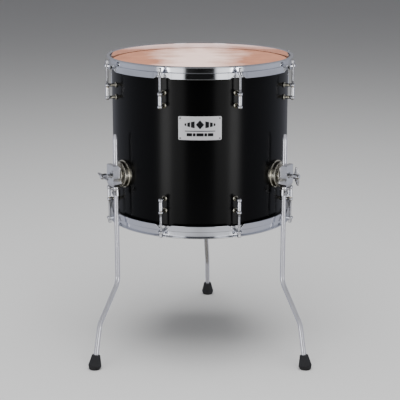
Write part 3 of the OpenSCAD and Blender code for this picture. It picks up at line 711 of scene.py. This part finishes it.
class FLOORTOM_OT_stage(BuildOperator, bpy.types.Operator):
    """Makes the floor, the soft studio light and the camera"""

    bl_idname = "floor_tom.stage"
    bl_label = "Stage"

    def floor(self):
        half = sizes().floor_size / 2
        mesh = bpy.data.meshes.new("studio_floor")
        corners = [(-half, -half, 0), (half, -half, 0), (half, half, 0), (-half, half, 0)]
        mesh.from_pydata(corners, [], [(0, 1, 2, 3)])
        mesh.materials.append(Finishes.get("floor"))
        obj = placed("studio_floor", mesh)
        obj.visible_glossy = False

    # Brightness round the horizon, by degrees away from straight ahead: what a wall just below eye level
    # mirrors, what one that leans back mirrors, and what the table shows
    level = (
        (0, (0.01, 0.01, 0.01)), (16, (0.02, 0.02, 0.02)), (23, (1.4, 1.4, 1.4)), (36, (1.6, 1.6, 1.6)),
        (41, (5.0, 5.0, 5.0)), (47, (5.0, 5.0, 5.0)), (56, (0.42, 0.43, 0.48)), (110, (0.48, 0.50, 0.57)),
        (140, (0.36, 0.37, 0.42)), (180, (0.16, 0.16, 0.17)),
    )
    raised = (
        (0, (0.01, 0.01, 0.01)), (17, (0.01, 0.01, 0.01)), (22, (1.6, 1.6, 1.6)), (33, (1.6, 1.6, 1.6)),
        (38, (0.02, 0.02, 0.02)), (52, (0.03, 0.03, 0.035)), (62, (0.42, 0.43, 0.48)), (180, (0.3, 0.3, 0.32)),
    )
    table = (
        (0, (0.55, 0.55, 0.56)), (20, (0.68, 0.68, 0.70)), (44, (0.70, 0.70, 0.72)), (60, (0.46, 0.46, 0.50)),
        (110, (0.44, 0.45, 0.51)), (180, (0.3, 0.3, 0.32)),
    )
    under = (0.13, 0.12, 0.085)
    ceiling = (0.12, 0.12, 0.125)

    def band(self, nodes, share, stops):
        """A ramp of colours round the horizon, from straight ahead at 0 to straight behind at 180."""
        ramp = nodes.node("ValToRGB", Fac=share)
        ramp.color_ramp.interpolation = "EASE"
        elements = ramp.color_ramp.elements
        while len(elements) < len(stops):
            elements.new(0.5)
        for element, (degrees, colour) in zip(elements, stops):
            element.position = degrees / 180
            element.color = (*colour, 1)
        return ramp.outputs[0]

    def world(self):
        """Bright soft panels stand either side of a dark gap in front, with grey all round."""
        world = bpy.data.worlds.new("studio")
        bpy.context.scene.world = world
        world.use_nodes = True
        nodes = Nodes(world.node_tree)
        split = nodes.node("SeparateXYZ", i0=nodes.node("TexCoord").outputs["Generated"])
        across = nodes.math("ABSOLUTE", split.outputs["X"])
        ahead = nodes.math("MULTIPLY", split.outputs["Y"], -1.0)
        share = nodes.math("DIVIDE", nodes.math("ARCTAN2", across, ahead), math.pi)
        level, raised, table = (self.band(nodes, share, stops) for stops in (self.level, self.raised, self.table))

        def blend(low, high, below, above):
            """Goes from one colour to another between two elevations, in degrees."""
            start, end = (math.sin(math.radians(elevation)) for elevation in (low, high))
            return nodes.mix(nodes.ramp(split.outputs["Z"], 0, 1, start, end, "SMOOTHSTEP"), below, above)

        colour = blend(-58, -30, self.under, table)
        colour = blend(-15.9, -15.1, colour, level)
        colour = blend(-1, 3, colour, raised)
        colour = blend(28, 50, colour, self.ceiling)
        nodes.tree.links.new(colour, nodes.tree.nodes["Background"].inputs["Color"])

    def softbox(self, name, place, target, side, power):
        """A square soft light that mirrors don't show."""
        light = bpy.data.lights.new(name, "AREA")
        light.shape = "SQUARE"
        light.size = side
        light.energy = power
        obj = placed(name, light)
        obj.location = place
        obj.rotation_euler = (Vector(target) - Vector(place)).to_track_quat("-Z", "Y").to_euler()
        obj.visible_glossy = False

    def camera(self):
        camera = bpy.data.cameras.new("camera")
        camera.sensor_width = 36
        camera.lens = sizes().camera_lens
        camera.clip_end = 200
        obj = placed("camera", camera)
        obj.location = (0, AXIS_Y * MM - sizes().camera_distance, sizes().camera_height)
        obj.rotation_euler = (math.pi / 2 - sizes().camera_pitch, 0, 0)
        bpy.context.scene.camera = obj

    def execute(self, context):
        self.floor()
        self.world()
        self.softbox("top_softbox", (0, -0.6, 3.2), (0, 0, 0.3), 3.0, 180)
        self.camera()
        return {"FINISHED"}


class FLOORTOM_OT_shell(BuildOperator, bpy.types.Operator):
    """Makes the lacquered plywood shell"""

    bl_idname = "floor_tom.shell"
    bl_label = "Shell"

    def execute(self, context):
        depth = SHELL_HIGH - SHELL_LOW
        inner = SHELL_R - SHELL_WALL
        profile = rounded([
            (inner, SHELL_WALL - 1.5), (SHELL_R - 1.6, 0), (SHELL_R - 0.8, 0), (SHELL_R, 0.8),
            (SHELL_R, depth - 0.8), (SHELL_R - 0.8, depth), (SHELL_R - 1.6, depth),
            (inner, depth - SHELL_WALL + 1.5),
        ], 0.5, 3)
        piece(
            "shell_wall", revolve(profile, 360, closed=True), "drum",
            [Finishes.get("lacquer"), Finishes.get("plywood")], ["shell"],
            on_axis(SHELL_LOW),
            choose=lambda face: 0 if face.calc_center_median().xy.length > SHELL_R - 0.5 else 1)
        finish_nodes("chrome", "vent_grommet", "vent_ring")
        return {"FINISHED"}


class FLOORTOM_OT_badge(BuildOperator, bpy.types.Operator):
    """Makes the curved badge plate and its ornament, and finishes its rivets"""

    bl_idname = "floor_tom.badge"
    bl_label = "Badge"

    def on_shell(self, bm, step=2.0):
        """Splits a flat plate into strips, and wraps it round the shell."""
        reach = max(abs(v.co.x) for v in bm.verts)
        cut = -reach + step
        while cut < reach:
            bmesh.ops.bisect_plane(
                bm, geom=bm.verts[:] + bm.edges[:] + bm.faces[:], plane_co=(cut, 0, 0), plane_no=(1, 0, 0))
            cut += step
        for vert in bm.verts:
            across, up, out = vert.co
            vert.co = (math.sqrt((SHELL_R + out) ** 2 - across ** 2), across, up)
        return bm

    def ornament(self, low, high):
        """A diamond between tapering bars, over a line and a row of blocks: a plain pattern."""
        shapes = []
        diamond = [(0, 10), (9, 0), (0, -10), (-9, 0)]
        shapes.append((rounded(diamond, 0.8), (0, 8)))
        for side in (-1, 1):
            for start, wide, height in ((11.5, 8, 15), (21.5, 6, 11), (29.5, 4, 7)):
                bar = [(side * start, height / 2), (side * (start + wide), height / 2 - 1.5),
                       (side * (start + wide), 1.5 - height / 2), (side * start, -height / 2)]
                shapes.append((rounded(bar, 0.6), (0, 8)))
        line = [(-33, 0.8), (33, 0.8), (33, -0.8), (-33, -0.8)]
        shapes.append((rounded(line, 0.5), (0, -6.2)))
        for start, wide in ((-29, 12), (-15.5, 6), (-8, 16), (9.5, 6), (17, 12)):
            block = [(start, 3.4), (start + wide, 3.4), (start + wide, -3.4), (start, -3.4)]
            shapes.append((rounded(block, 1.2), (0, -14)))
        return joined([
            soften(prism([(p[0] + at[0], p[1] + at[1]) for p in outline], low, high), 0.08, 40, 2)
            for outline, at in shapes
        ])

    def execute(self, context):
        low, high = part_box("badge")
        half_w = (high.x - low.x) / MM / 2
        half_h = (high.z - low.z) / MM / 2
        place = around(0, (low.z + high.z) / MM / 2)
        outline = rounded([(-half_w, -half_h), (half_w, -half_h), (half_w, half_h), (-half_w, half_h)], 3, 8)
        plate = soften(prism(outline, 0, 1), 0.22, 50, 3)
        piece("badge_plate", self.on_shell(plate), "drum", Finishes.get("badge"), ["badge"], place)
        top = 1 + sizes().enamel_height / MM
        piece("badge_ornament", self.on_shell(self.ornament(0.8, top), 1.5), "drum",
              Finishes.get("enamel"), (), place)
        finish_nodes("rivet", "badge_rivets")
        return {"FINISHED"}


class FLOORTOM_OT_heads(BuildOperator, bpy.types.Operator):
    """Makes the two drumhead films and finishes their flesh hoops"""

    bl_idname = "floor_tom.heads"
    bl_label = "Drumheads"

    def film(self):
        """A flat sheet with a rolled edge and a collar below it."""
        roll, thick = 3.5, 0.3
        centre = (FILM_R - roll, FILM_T - roll)
        flat = [(r, FILM_T) for r in (0, 40, 80, 120, 150, 175, 190, 197)]
        under = [(r, FILM_T - thick) for r, _ in reversed(flat)]
        collar = [(FILM_R, -COLLAR_DROP), (FILM_R - thick, -COLLAR_DROP)]
        return revolve(
            flat + arc(centre, roll, 90, 0, 10) + collar + arc(centre, roll - thick, 0, 90, 10) + under, 256)

    def execute(self, context):
        for end, finish in (("batter", "playing_film"), ("resonant", "satin_film")):
            piece(f"{end}_head", self.film(), "drum", Finishes.get(finish),
                  [f"{end}_film"], at_edge(end), angle=50)
            finish_nodes("aluminium", f"{end}_flesh_hoop")
        return {"FINISHED"}


class FLOORTOM_OT_hoops(BuildOperator, bpy.types.Operator):
    """Makes the pressed hoops, with a notch and an ear at every tension rod"""

    bl_idname = "floor_tom.hoops"
    bl_label = "Hoops"

    ear_r = 7.0
    ear_fillet = 3.0
    notch_top = 5.5
    notch_mouth = 20.0

    def stations(self):
        """Angles from a lug at which the section is drawn, close together round the ear."""
        ear = [math.degrees(math.asin(self.ear_r * math.sin(math.radians(u)) / ROD_R)) for u in range(0, 91, 6)]
        fillet = [math.degrees((self.ear_r + 0.02 + self.ear_fillet * k / 8) / SKIRT_OUT) for k in range(9)]
        slope_start = self.ear_r + 0.3 + self.ear_fillet
        slope = self.notch_mouth + 2 - slope_start
        notch = [math.degrees((slope_start + slope * k / 16) / SKIRT_OUT) for k in range(17)]
        plain_start = notch[-1]
        plain = [plain_start + (LUG_STEP / 2 - plain_start) * k / 14 for k in range(1, 15)]
        half = ear + fillet + notch + plain
        return [-a for a in reversed(half[1:])] + half[:-1]

    def edge_radius(self, offset):
        """The flange's outer edge at an angle from a lug: out round the ear, then back to the skirt."""
        across = ROD_R * math.sin(math.radians(offset))
        if abs(across) < self.ear_r:
            return ROD_R * math.cos(math.radians(offset)) + math.sqrt(self.ear_r ** 2 - across ** 2)
        beyond = abs(math.radians(offset)) * SKIRT_OUT - self.ear_r
        if beyond < self.ear_fillet:
            reach = self.ear_fillet - max(beyond, 0)
            return SKIRT_OUT + self.ear_fillet - math.sqrt(self.ear_fillet ** 2 - reach ** 2)
        return SKIRT_OUT

    def skirt_share(self, offset):
        """How much of its full height the skirt has at an angle from a lug."""
        across = abs(math.radians(offset)) * SKIRT_OUT
        straight = min(max((across - self.notch_top) / (self.notch_mouth - self.notch_top), 0), 1)
        return 0.45 * straight + 0.55 * smooth_step(self.notch_top, self.notch_mouth, across)

    def section(self, offset):
        """The pressed section as radius and height, at an angle from a lug."""
        top = HOOP_RISE
        low = HOOP_RISE - HOOP_WALL_H
        flange = low + HOOP_T
        edge = self.edge_radius(offset)
        skirt = (HOOP_H - HOOP_WALL_H) * self.skirt_share(offset)
        lean = skirt * sizes().skirt_lean
        wall_out = WALL_IN + HOOP_T
        turned = min(skirt, 1) * 1.1
        corners = [
            (WALL_IN, low), (WALL_IN, top), (LIP_R, top), (LIP_R, top - 2.9), (wall_out, top - 2.6),
            (wall_out, flange), (edge - lean, flange), (edge - lean, low), (SKIRT_OUT - lean, low),
            (SKIRT_OUT, low - skirt), (SKIRT_OUT - HOOP_T, low - skirt), (SKIRT_OUT - HOOP_T - lean, low),
        ]
        ear = 0.7 if edge > SKIRT_OUT + 0.8 else 0
        radii = [0.3, 1.3, 1.4, 1.4, 1.0, 1.0, ear or 1.5, ear, 0, turned, turned, 0.6]
        return rounded(corners, radii, 5)

    def hoop(self):
        """The section carried round the drum."""
        rings = []
        for lug in lug_angles():
            for offset in self.stations():
                turn = math.radians(lug + offset - 90)
                rings.append([(r * math.cos(turn), r * math.sin(turn), z) for r, z in self.section(offset)])
        return loft(rings, wrap=True)

    def execute(self, context):
        for end in ENDS:
            piece(f"{end}_hoop_pressing", self.hoop(), "drum", Finishes.get("hoop"),
                  [f"{end}_hoop"], at_edge(end), angle=38)
            finish_nodes("chrome", f"{end}_rod_washers")
        return {"FINISHED"}


class FLOORTOM_OT_lugs(BuildOperator, bpy.types.Operator):
    """Makes the sixteen tube lugs"""

    bl_idname = "floor_tom.lugs"
    bl_label = "Lugs"

    def lug(self):
        """One lug in the frame of its bearing edge, with +X outwards."""
        ball_r = BALL_D / 2
        tube_r = TUBE_D / 2
        mouth_r, bore_r = 3.4, 3.1
        rod_ball = LUG_HIGH - SHELL_HIGH - ball_r
        far_ball = LUG_LOW - SHELL_HIGH + ball_r
        cut = math.degrees(math.acos(tube_r / ball_r))
        mouth = math.degrees(math.acos(mouth_r / ball_r))
        mouth_z = rod_ball + ball_r * math.sin(math.radians(mouth)) - 0.3
        neck_z = rod_ball - ball_r * math.sin(math.radians(cut)) - 0.2
        neck_r = tube_r - 0.9
        tube = [(neck_r, neck_z), (neck_r, neck_z - 0.9), (tube_r - 0.25, neck_z - 1.2)]
        profile = [(0, rod_ball + 1), (bore_r, rod_ball + 1), (bore_r, mouth_z)]
        profile += arc((0, rod_ball), ball_r, mouth, -cut + 8, 18)
        profile += tube + [(r, rod_ball + far_ball - z) for r, z in reversed(tube)]
        profile += arc((0, far_ball), ball_r, cut - 8, -90, 22)
        solids = [moved(revolve(profile, 48), Matrix.Translation((ROD_R, 0, 0)))]
        foot = SHELL_R + GASKET_T - 0.15
        length = ROD_R - ball_r + 1.2 - foot
        post_r = POST_D / 2
        foot_r = POST_FOOT_D / 2
        for height in (rod_ball, far_ball):
            outline = rounded([
                (0, 0), (foot_r, 0), (foot_r, 1.5), (post_r + 0.9, 2.7), (post_r, 4.6),
                (post_r, length - 2.4), (post_r + 0.7, length), (0, length),
            ], [0, 0.3, 0.6, 0.8, 1.5, 1.5, 0.2, 0], 4, closed=False)
            post = along_x(revolve(outline, 40))
            solids.append(moved(post, Matrix.Translation((foot, 0, height))))
        return joined(solids)

    def execute(self, context):
        for end in ENDS:
            lugs = copies(self.lug(), [turn_z(a) for a in lug_angles()])
            piece(f"{end}_lug_set", lugs, "drum", [Finishes.get("chrome"), Finishes.get("nickel")],
                  [f"{end}_lugs"], at_edge(end), angle=40,
                  choose=lambda face: 1 if face.calc_center_median().xy.length < ROD_R - BALL_D / 2 + 0.6 else 0)
        finish_nodes("gasket", "lug_gaskets")
        finish_nodes("brass", "lug_inserts")
        finish_nodes("zinc", "lug_screws", "lug_washers")
        return {"FINISHED"}


class FLOORTOM_OT_rods(BuildOperator, bpy.types.Operator):
    """Makes the tension rods, with threads and square key heads"""

    bl_idname = "floor_tom.rods"
    bl_label = "Tension rods"

    def shank(self, low, thread_top, high):
        """Half profile of a threaded rod, from its tip up to its collar."""
        radius = ROD_D / 2
        pitch = sizes().thread_pitch / MM
        depth = sizes().thread_depth / MM
        profile = [(0, low), (radius - 0.9, low), (radius - depth, low + 0.7)]
        height = low + 1.2
        while height < thread_top:
            profile += [(radius, height), (radius, height + pitch * 0.2), (radius - depth, height + pitch * 0.6)]
            height += pitch
        return profile + [(radius, thread_top + 1), (radius, high)]

    def rod(self, end):
        low, high = span(f"{end}_rod_1", 2)
        edge = SHELL_HIGH if end == "batter" else SHELL_LOW
        sign = 1 if end == "batter" else -1
        tip, top = sorted((sign * (low - edge), sign * (high - edge)))
        collar = top - 8.5 - 2
        profile = self.shank(tip, tip + 27, collar)
        profile += rounded([
            (ROD_D / 2, collar), (5.5, collar), (5.5, collar + 2), (3.6, collar + 2.9), (0, collar + 2.9),
        ], [0, 0.35, 0.5, 0.6, 0], 3, closed=False)
        head = key_head((
            (collar + 1.8, 1.0), (top - 1.3, 1.0), (top - 0.9, 0.985), (top - 0.35, 0.90), (top - 0.08, 0.80),
            (top, 0.70)))
        return joined([revolve(profile, 36), head])

    def execute(self, context):
        for end in ENDS:
            rod = self.rod(end)
            for i in range(1, 9):
                name = f"{end}_rod_{i}"
                x, y, z = joint(f"{name}_turn")["pos_m"]
                flip = Matrix.Identity(4) if end == "batter" else Matrix.Scale(-1, 4, (0, 0, 1))
                place = Matrix.Translation((x, y, z)) @ flip @ turn_z(polar(x / MM, y / MM)[1])
                piece(f"{name}_turned", rod.copy(), name, Finishes.get("rod"), [name], place, angle=40)
            rod.free()
        return {"FINISHED"}


class FLOORTOM_OT_brackets(BuildOperator, bpy.types.Operator):
    """Makes the three cast leg brackets"""

    bl_idname = "floor_tom.brackets"
    bl_label = "Leg brackets"

    def rod_shape(self, radius, segments):
        """A long upright cylinder, to cut with."""
        return revolve([(0, -60), (radius, -60), (radius, 60), (0, 60)], segments)

    def cup(self):
        """The round windowed cup that seats on the shell."""
        face = SHELL_R + CUP_DEPTH
        base_r, face_r, hollow_r = CUP_D / 2, CUP_FACE_D / 2, CUP_FACE_D / 2 - 9
        step = SHELL_R + BRACKET_GASKET_T + 3
        profile = rounded([
            (hollow_r, SHELL_R - 8), (base_r, SHELL_R - 8), (base_r, step), (face_r, step + 0.9),
            (face_r, face), (face_r - 7.5, face), (face_r - 9, face - 1.6), (hollow_r - 7, face - 1.6),
            (hollow_r - 7, face - 4), (hollow_r, face - 4),
        ], [0, 0.2, 0.7, 0.5, 1.4, 0.8, 0.8, 0.4, 0.4, 1.5], 4)
        cup = along_x(revolve(profile, 96, closed=True))
        cup = boolean(cup, self.rod_shape(SHELL_R + BRACKET_GASKET_T, 360), "DIFFERENCE")
        webs = []
        for turn in (45, 135, 225, 315):
            outline = rounded([(-3.2, 9), (3.2, 9), (2.2, hollow_r + 1), (-2.2, hollow_r + 1)], 0.4)
            web = along_x(prism(outline, face - 7, face - 1.8))
            webs.append(moved(web, Matrix.Rotation(math.radians(turn), 4, "X")))
        boss = along_x(revolve(rounded([
            (0, face - 8), (12.5, face - 8), (12.5, face - 1), (11, face + 2.5), (0, face + 2.5),
        ], [0, 0.5, 1, 1, 0], 4, closed=False), 64))
        return joined([cup, boss, *webs])

    def block(self):
        """The shield shaped clamp block, bored for the leg."""
        inner, outer = LEG_R - BLOCK_IN, LEG_R + BLOCK_OUT
        side = rounded([
            (inner, -BLOCK_DROP + 9), (inner + 7, -BLOCK_DROP), (outer - 4.5, -BLOCK_DROP), (outer, -BLOCK_DROP + 9),
            (outer, BLOCK_TOP_OUT), (LEG_R + LEG_D / 2 - 0.5, BLOCK_TOP_OUT), (inner, BLOCK_TOP_IN),
        ], [6, 6, 5, 9, 2.2, 5, 3], 6)
        half = BLOCK_W / 2
        slab = moved(prism([(p[0], p[1]) for p in side], -half, half), Matrix.Rotation(math.radians(90), 4, "X"))
        front = rounded([
            (-half, -BLOCK_DROP), (half, -BLOCK_DROP), (half, BLOCK_TOP_OUT), (-half, BLOCK_TOP_OUT),
        ], [10, 10, 3, 3], 8)
        facing_out = Matrix(((0, 0, 1, 0), (1, 0, 0, 0), (0, 1, 0, 0), (0, 0, 0, 1)))
        shield = moved(prism(front, inner - 5, outer + 5), facing_out)
        block = boolean(slab, shield, "INTERSECT")
        soften(block, sizes().edge_softness / MM, 40, 3)
        bore = moved(self.rod_shape(LEG_D / 2 + 0.12, 48), Matrix.Translation((LEG_R, 0, 0)))
        return boolean(block, bore, "DIFFERENCE")

    def execute(self, context):
        casting = joined([self.cup(), self.block()])
        for side in SIDES:
            piece(f"bracket_{side}_casting", casting.copy(), "drum",
                  [Finishes.get("casting"), Finishes.get("nickel")], [f"bracket_{side}"],
                  bracket_place(side), angle=33,
                  choose=lambda face: 1 if face.calc_center_median().x < SHELL_R + CUP_DEPTH + 0.3 else 0)
        casting.free()
        finish_nodes("gasket", "bracket_gaskets")
        finish_nodes("zinc", "bracket_screws", "bracket_washers")
        finish_nodes("chrome", "eyebolts", "wing_washers")
        return {"FINISHED"}


class FLOORTOM_OT_wing_nuts(BuildOperator, bpy.types.Operator):
    """Makes the cast wing nuts"""

    bl_idname = "floor_tom.wing_nuts"
    bl_label = "Wing nuts"

    turns = {"left": 80, "right": 12, "rear": 35}
    tip_reach = 23.0

    def wing(self, hub_low, hub_high, side):
        """One wing: a flat lobe that narrows and leans outwards to a round tip."""
        rings = []
        steps = 18
        for k in range(steps + 1):
            share = k / steps
            across = 2 + (self.tip_reach - 2) * share
            half_w = 6.3 - 3.3 * smooth_step(0.15, 0.95, share)
            centre = (hub_low + hub_high) / 2 + 1.6 * share
            thick = 2.1 - 0.5 * share
            from_tip = self.tip_reach - across
            if from_tip < 3:
                close = math.sqrt(max(1 - ((3 - from_tip) / 3) ** 2, 0))
                half_w *= close
                thick *= max(close, 0.02)
            rings.append([
                (centre + half_w * math.copysign(abs(math.cos(a)) ** 0.8, math.cos(a)),
                 thick * math.copysign(abs(math.sin(a)) ** 0.8, math.sin(a)), side * across)
                for a in (math.tau * i / 28 for i in range(28))
            ])
        return loft(rings)

    def nut(self):
        """The hub with its two wings."""
        base = LEG_R + BLOCK_OUT + 2 + FACE_GAP
        hub_low = base + 7
        hub_high = hub_low + 15
        profile = rounded([
            (3.05, base), (4.5, base), (4.5, hub_low - 1.5), (6.5, hub_low + 1.5), (6.5, hub_high - 3), (4.6, hub_high),
            (3.05, hub_high),
        ], [0.2, 0.5, 1.5, 2, 2, 1, 0.3], 4)
        hub = along_x(revolve(profile, 56, closed=True))
        return joined([hub, self.wing(hub_low, hub_high, 1), self.wing(hub_low, hub_high, -1)])

    def execute(self, context):
        nut = self.nut()
        for side in SIDES:
            turn = Matrix.Rotation(math.radians(self.turns[side]), 4, "X")
            piece(f"wing_nut_{side}_casting", moved(nut.copy(), turn), f"wing_nut_{side}",
                  Finishes.get("casting"), [f"wing_nut_{side}"], bracket_place(side), angle=45)
        nut.free()
        return {"FINISHED"}


class FLOORTOM_OT_memory_locks(BuildOperator, bpy.types.Operator):
    """Makes the memory locks and their key bolts"""

    bl_idname = "floor_tom.memory_locks"
    bl_label = "Memory locks"

    ring_r = 9.5
    ear_reach = 15.5
    ear_half = 6.0
    split_half = 0.8

    def lock(self, low, high):
        """A split ring with two ears, and a neck on top."""
        bore = LEG_D / 2 + 0.1
        shoulder = math.degrees(math.asin(self.ear_half / self.ring_r))
        gap = math.degrees(math.asin(self.split_half / bore))
        outer = arc((0, 0), self.ring_r, shoulder, 360 - shoulder, 48)
        inner = arc((0, 0), bore, 360 - gap, gap, 48)
        lower_ear = rounded([(8, -self.ear_half), (self.ear_reach, -self.ear_half), (self.ear_reach, -self.split_half),
                             (bore + 0.5, -self.split_half)], [0, 2, 0.3, 0], 4, closed=False)
        upper_ear = rounded([(bore + 0.5, self.split_half), (self.ear_reach, self.split_half),
                             (self.ear_reach, self.ear_half), (8, self.ear_half)], [0, 0.3, 2, 0], 4, closed=False)
        outline = outer + lower_ear[1:] + inner + upper_ear[:-1]
        clamp = soften(prism(outline, low, high - 5), 0.5, 50, 3)
        neck = revolve(rounded([
            (bore, high - 6), (8.4, high - 6), (7.5, high - 3.6), (7.5, high), (bore, high),
        ], [0, 0.3, 1.2, 0.7, 0.3], 4), 56, closed=True)
        return joined([clamp, neck])

    def bolt(self):
        """A key bolt along +Z, with its head above and a nut end below."""
        turned = revolve(rounded([
            (0, -8), (1.8, -8), (2.25, -7.4), (2.25, 6.1), (3.55, 6.1), (3.55, 7.6), (3.2, 8.1), (0, 8.1),
        ], [0, 0.2, 0.3, 0.1, 0.4, 0.5, 0.3, 0], 3, closed=False), 40)
        head = key_head(((7.1, 1.0), (12.2, 1.0), (12.7, 0.97), (13.0, 0.88), (13.08, 0.78)))
        return joined([turned, head])

    def execute(self, context):
        for side in SIDES:
            low, high = span(f"memory_lock_{side}", 2)
            piece(f"memory_lock_{side}_clamp", self.lock(low, high), f"memory_lock_{side}",
                  Finishes.get("casting"), [f"memory_lock_{side}"], leg_place(side), angle=40)
            entry = joint(f"key_bolt_{side}_turn")
            head = 1 if side == "left" else -1
            tangent = Vector(entry["axis"]) * head
            turn = Vector((0, 0, 1)).rotation_difference(tangent).to_matrix().to_4x4()
            piece(f"key_bolt_{side}_turned", self.bolt(), f"key_bolt_{side}", Finishes.get("rod"),
                  [f"key_bolt_{side}"], Matrix.Translation(entry["pos_m"]) @ turn, angle=40)
        return {"FINISHED"}


class FLOORTOM_OT_legs(BuildOperator, bpy.types.Operator):
    """Makes the bent legs and their rubber feet"""

    bl_idname = "floor_tom.legs"
    bl_label = "Legs and feet"

    knee_z = 182.7
    ankle_z = 100.1
    ankle_reach = 70.8
    foot_reach = 94.3
    taper = 14.0
    tip_r = 3.25
    sole_t = 9.0

    def lean_angle(self, side):
        """The way a leg bends, from the leg's axis to its foot."""
        x, y, _ = joint(f"leg_{side}_swivel")["pos_m"]
        low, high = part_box(f"foot_{side}")
        across = (low.x + high.x) / 2 - x
        along = (low.y + high.y) / 2 - y
        return math.atan2(along, across)

    def path(self, top):
        """The leg's centre line in its own plane, with round bends, from its tip down into its foot."""
        corners = [Vector((0, top)), Vector((0, self.knee_z)), Vector((self.ankle_reach, self.ankle_z)),
                   Vector((self.foot_reach, 0))]
        knee = rounded(corners[:3], BEND_R, 16, closed=False)[1:-1]
        ankle = rounded(corners[1:], BEND_R, 14, closed=False)[1:-1]
        end = corners[3] + (corners[2] - corners[3]).normalized() * self.sole_t
        return knee + ankle + [end]

    def leg(self, top):
        """The rod along its path, tapered at the top."""
        straight = [(top, self.tip_r * 0.55), (top - 0.35, self.tip_r * 0.86), (top - 1.1, self.tip_r)]
        straight += [(top - self.taper * s, self.tip_r + (LEG_D / 2 - self.tip_r) * smooth_step(-0.15, 1.0, s))
                     for s in (0.25, 0.45, 0.65, 0.85, 1.0)]
        straight += [(top - self.taper - 3, LEG_D / 2), (self.knee_z + 40, LEG_D / 2)]
        points = [(0, 0, z) for z, _ in straight]
        radii = [r for _, r in straight]
        for point in self.path(top):
            points.append((point[0], 0, point[1]))
            radii.append(LEG_D / 2)
        return sweep(points, radii, 48)

    def foot(self, lean):
        """A fluted cone round the leg's end, cut flat at the floor."""
        base, top, height, bulge = 15.25, 9.75, 33, 8
        section = rounded([
            (0, -3), (base - 6, -3), (base - 3, 0), (base - 0.9, bulge - 2.1), (base, bulge), (base - 0.25, bulge + 1),
            (top, height - 1.5), (top - 0.9, height - 0.1),
            (LEG_D / 2 + 2.2, height), (LEG_D / 2 + 0.6, height - 1.6), (LEG_D / 2 - 0.4, height - 3), (0, height - 3),
        ], [0, 0.5, 0.8, 1.2, 0.5, 0.8, 1.5, 0.6, 0.7, 0.4, 0, 0], 4, closed=False)
        count = 144
        rings = []
        for radius, z in section:
            fluted = smooth_step(bulge + 3, bulge + 9, z) * (1 - smooth_step(height - 7, height - 3, z))
            ring = []
            for k in range(count):
                a = math.tau * k / count
                wave = 0.5 - 0.5 * math.cos(a * sizes().foot_flutes)
                r = max(radius - fluted * wave ** 2 * sizes().flute_depth / MM, 0)
                ring.append((r * math.cos(a), r * math.sin(a), z))
            rings.append(ring)
        bm = loft(rings, caps=False)
        moved(bm, Matrix.Translation((self.foot_reach, 0, 0)) @ Matrix.Rotation(-lean, 4, "Y"))
        cut = bmesh.ops.bisect_plane(
            bm, geom=bm.verts[:] + bm.edges[:] + bm.faces[:], plane_co=(0, 0, 0), plane_no=(0, 0, -1),
            clear_outer=True)
        rim = [e for e in cut["geom_cut"] if isinstance(e, bmesh.types.BMEdge)]
        bmesh.ops.contextual_create(bm, geom=rim)
        return bm

    def execute(self, context):
        lean = math.atan2(self.foot_reach - self.ankle_reach, self.ankle_z)
        for side in SIDES:
            x, y, _ = joint(f"leg_{side}_swivel")["pos_m"]
            place = Matrix.Translation((x, y, 0)) @ Matrix.Rotation(self.lean_angle(side), 4, "Z")
            top = span(f"leg_{side}", 2)[1]
            piece(f"leg_{side}_rod", self.leg(top), f"leg_{side}", Finishes.get("leg"),
                  [f"leg_{side}"], place, angle=50)
            piece(f"foot_{side}_boot", self.foot(lean), f"leg_{side}", Finishes.get("rubber"),
                  [f"foot_{side}"], place, angle=40)
        return {"FINISHED"}


class FLOORTOM_PT_build(bpy.types.Panel):
    """Lists the build steps"""

    bl_label = "Floor Tom"
    bl_idname = "FLOORTOM_PT_build"
    bl_space_type = "VIEW_3D"
    bl_region_type = "UI"
    bl_category = "Floor Tom"

    def draw(self, context):
        for operator in OPERATORS:
            self.layout.operator(operator.bl_idname)
        for group in (sizes(), colours()):
            for name in type(group).__annotations__:
                self.layout.prop(group, name)


OPERATORS = (
    FLOORTOM_OT_stage, FLOORTOM_OT_shell, FLOORTOM_OT_badge, FLOORTOM_OT_heads, FLOORTOM_OT_hoops,
    FLOORTOM_OT_lugs, FLOORTOM_OT_rods, FLOORTOM_OT_brackets, FLOORTOM_OT_wing_nuts,
    FLOORTOM_OT_memory_locks, FLOORTOM_OT_legs,
)
GROUPS = (FloorTomSizes, FloorTomColours)


def register():
    for cls in (*GROUPS, *OPERATORS, FLOORTOM_PT_build):
        bpy.utils.register_class(cls)
    bpy.types.Scene.floor_tom_sizes = bpy.props.PointerProperty(type=FloorTomSizes)
    bpy.types.Scene.floor_tom_colours = bpy.props.PointerProperty(type=FloorTomColours)


def unregister():
    del bpy.types.Scene.floor_tom_colours
    del bpy.types.Scene.floor_tom_sizes
    for cls in reversed((*GROUPS, *OPERATORS, FLOORTOM_PT_build)):
        bpy.utils.unregister_class(cls)


def main():
    register()
    for operator in OPERATORS:
        category, name = operator.bl_idname.split(".")
        result = getattr(getattr(bpy.ops, category), name)()
        if result != {"FINISHED"}:
            raise RuntimeError(f"{operator.bl_idname} did not finish")


if __name__ == "__main__":
    main()
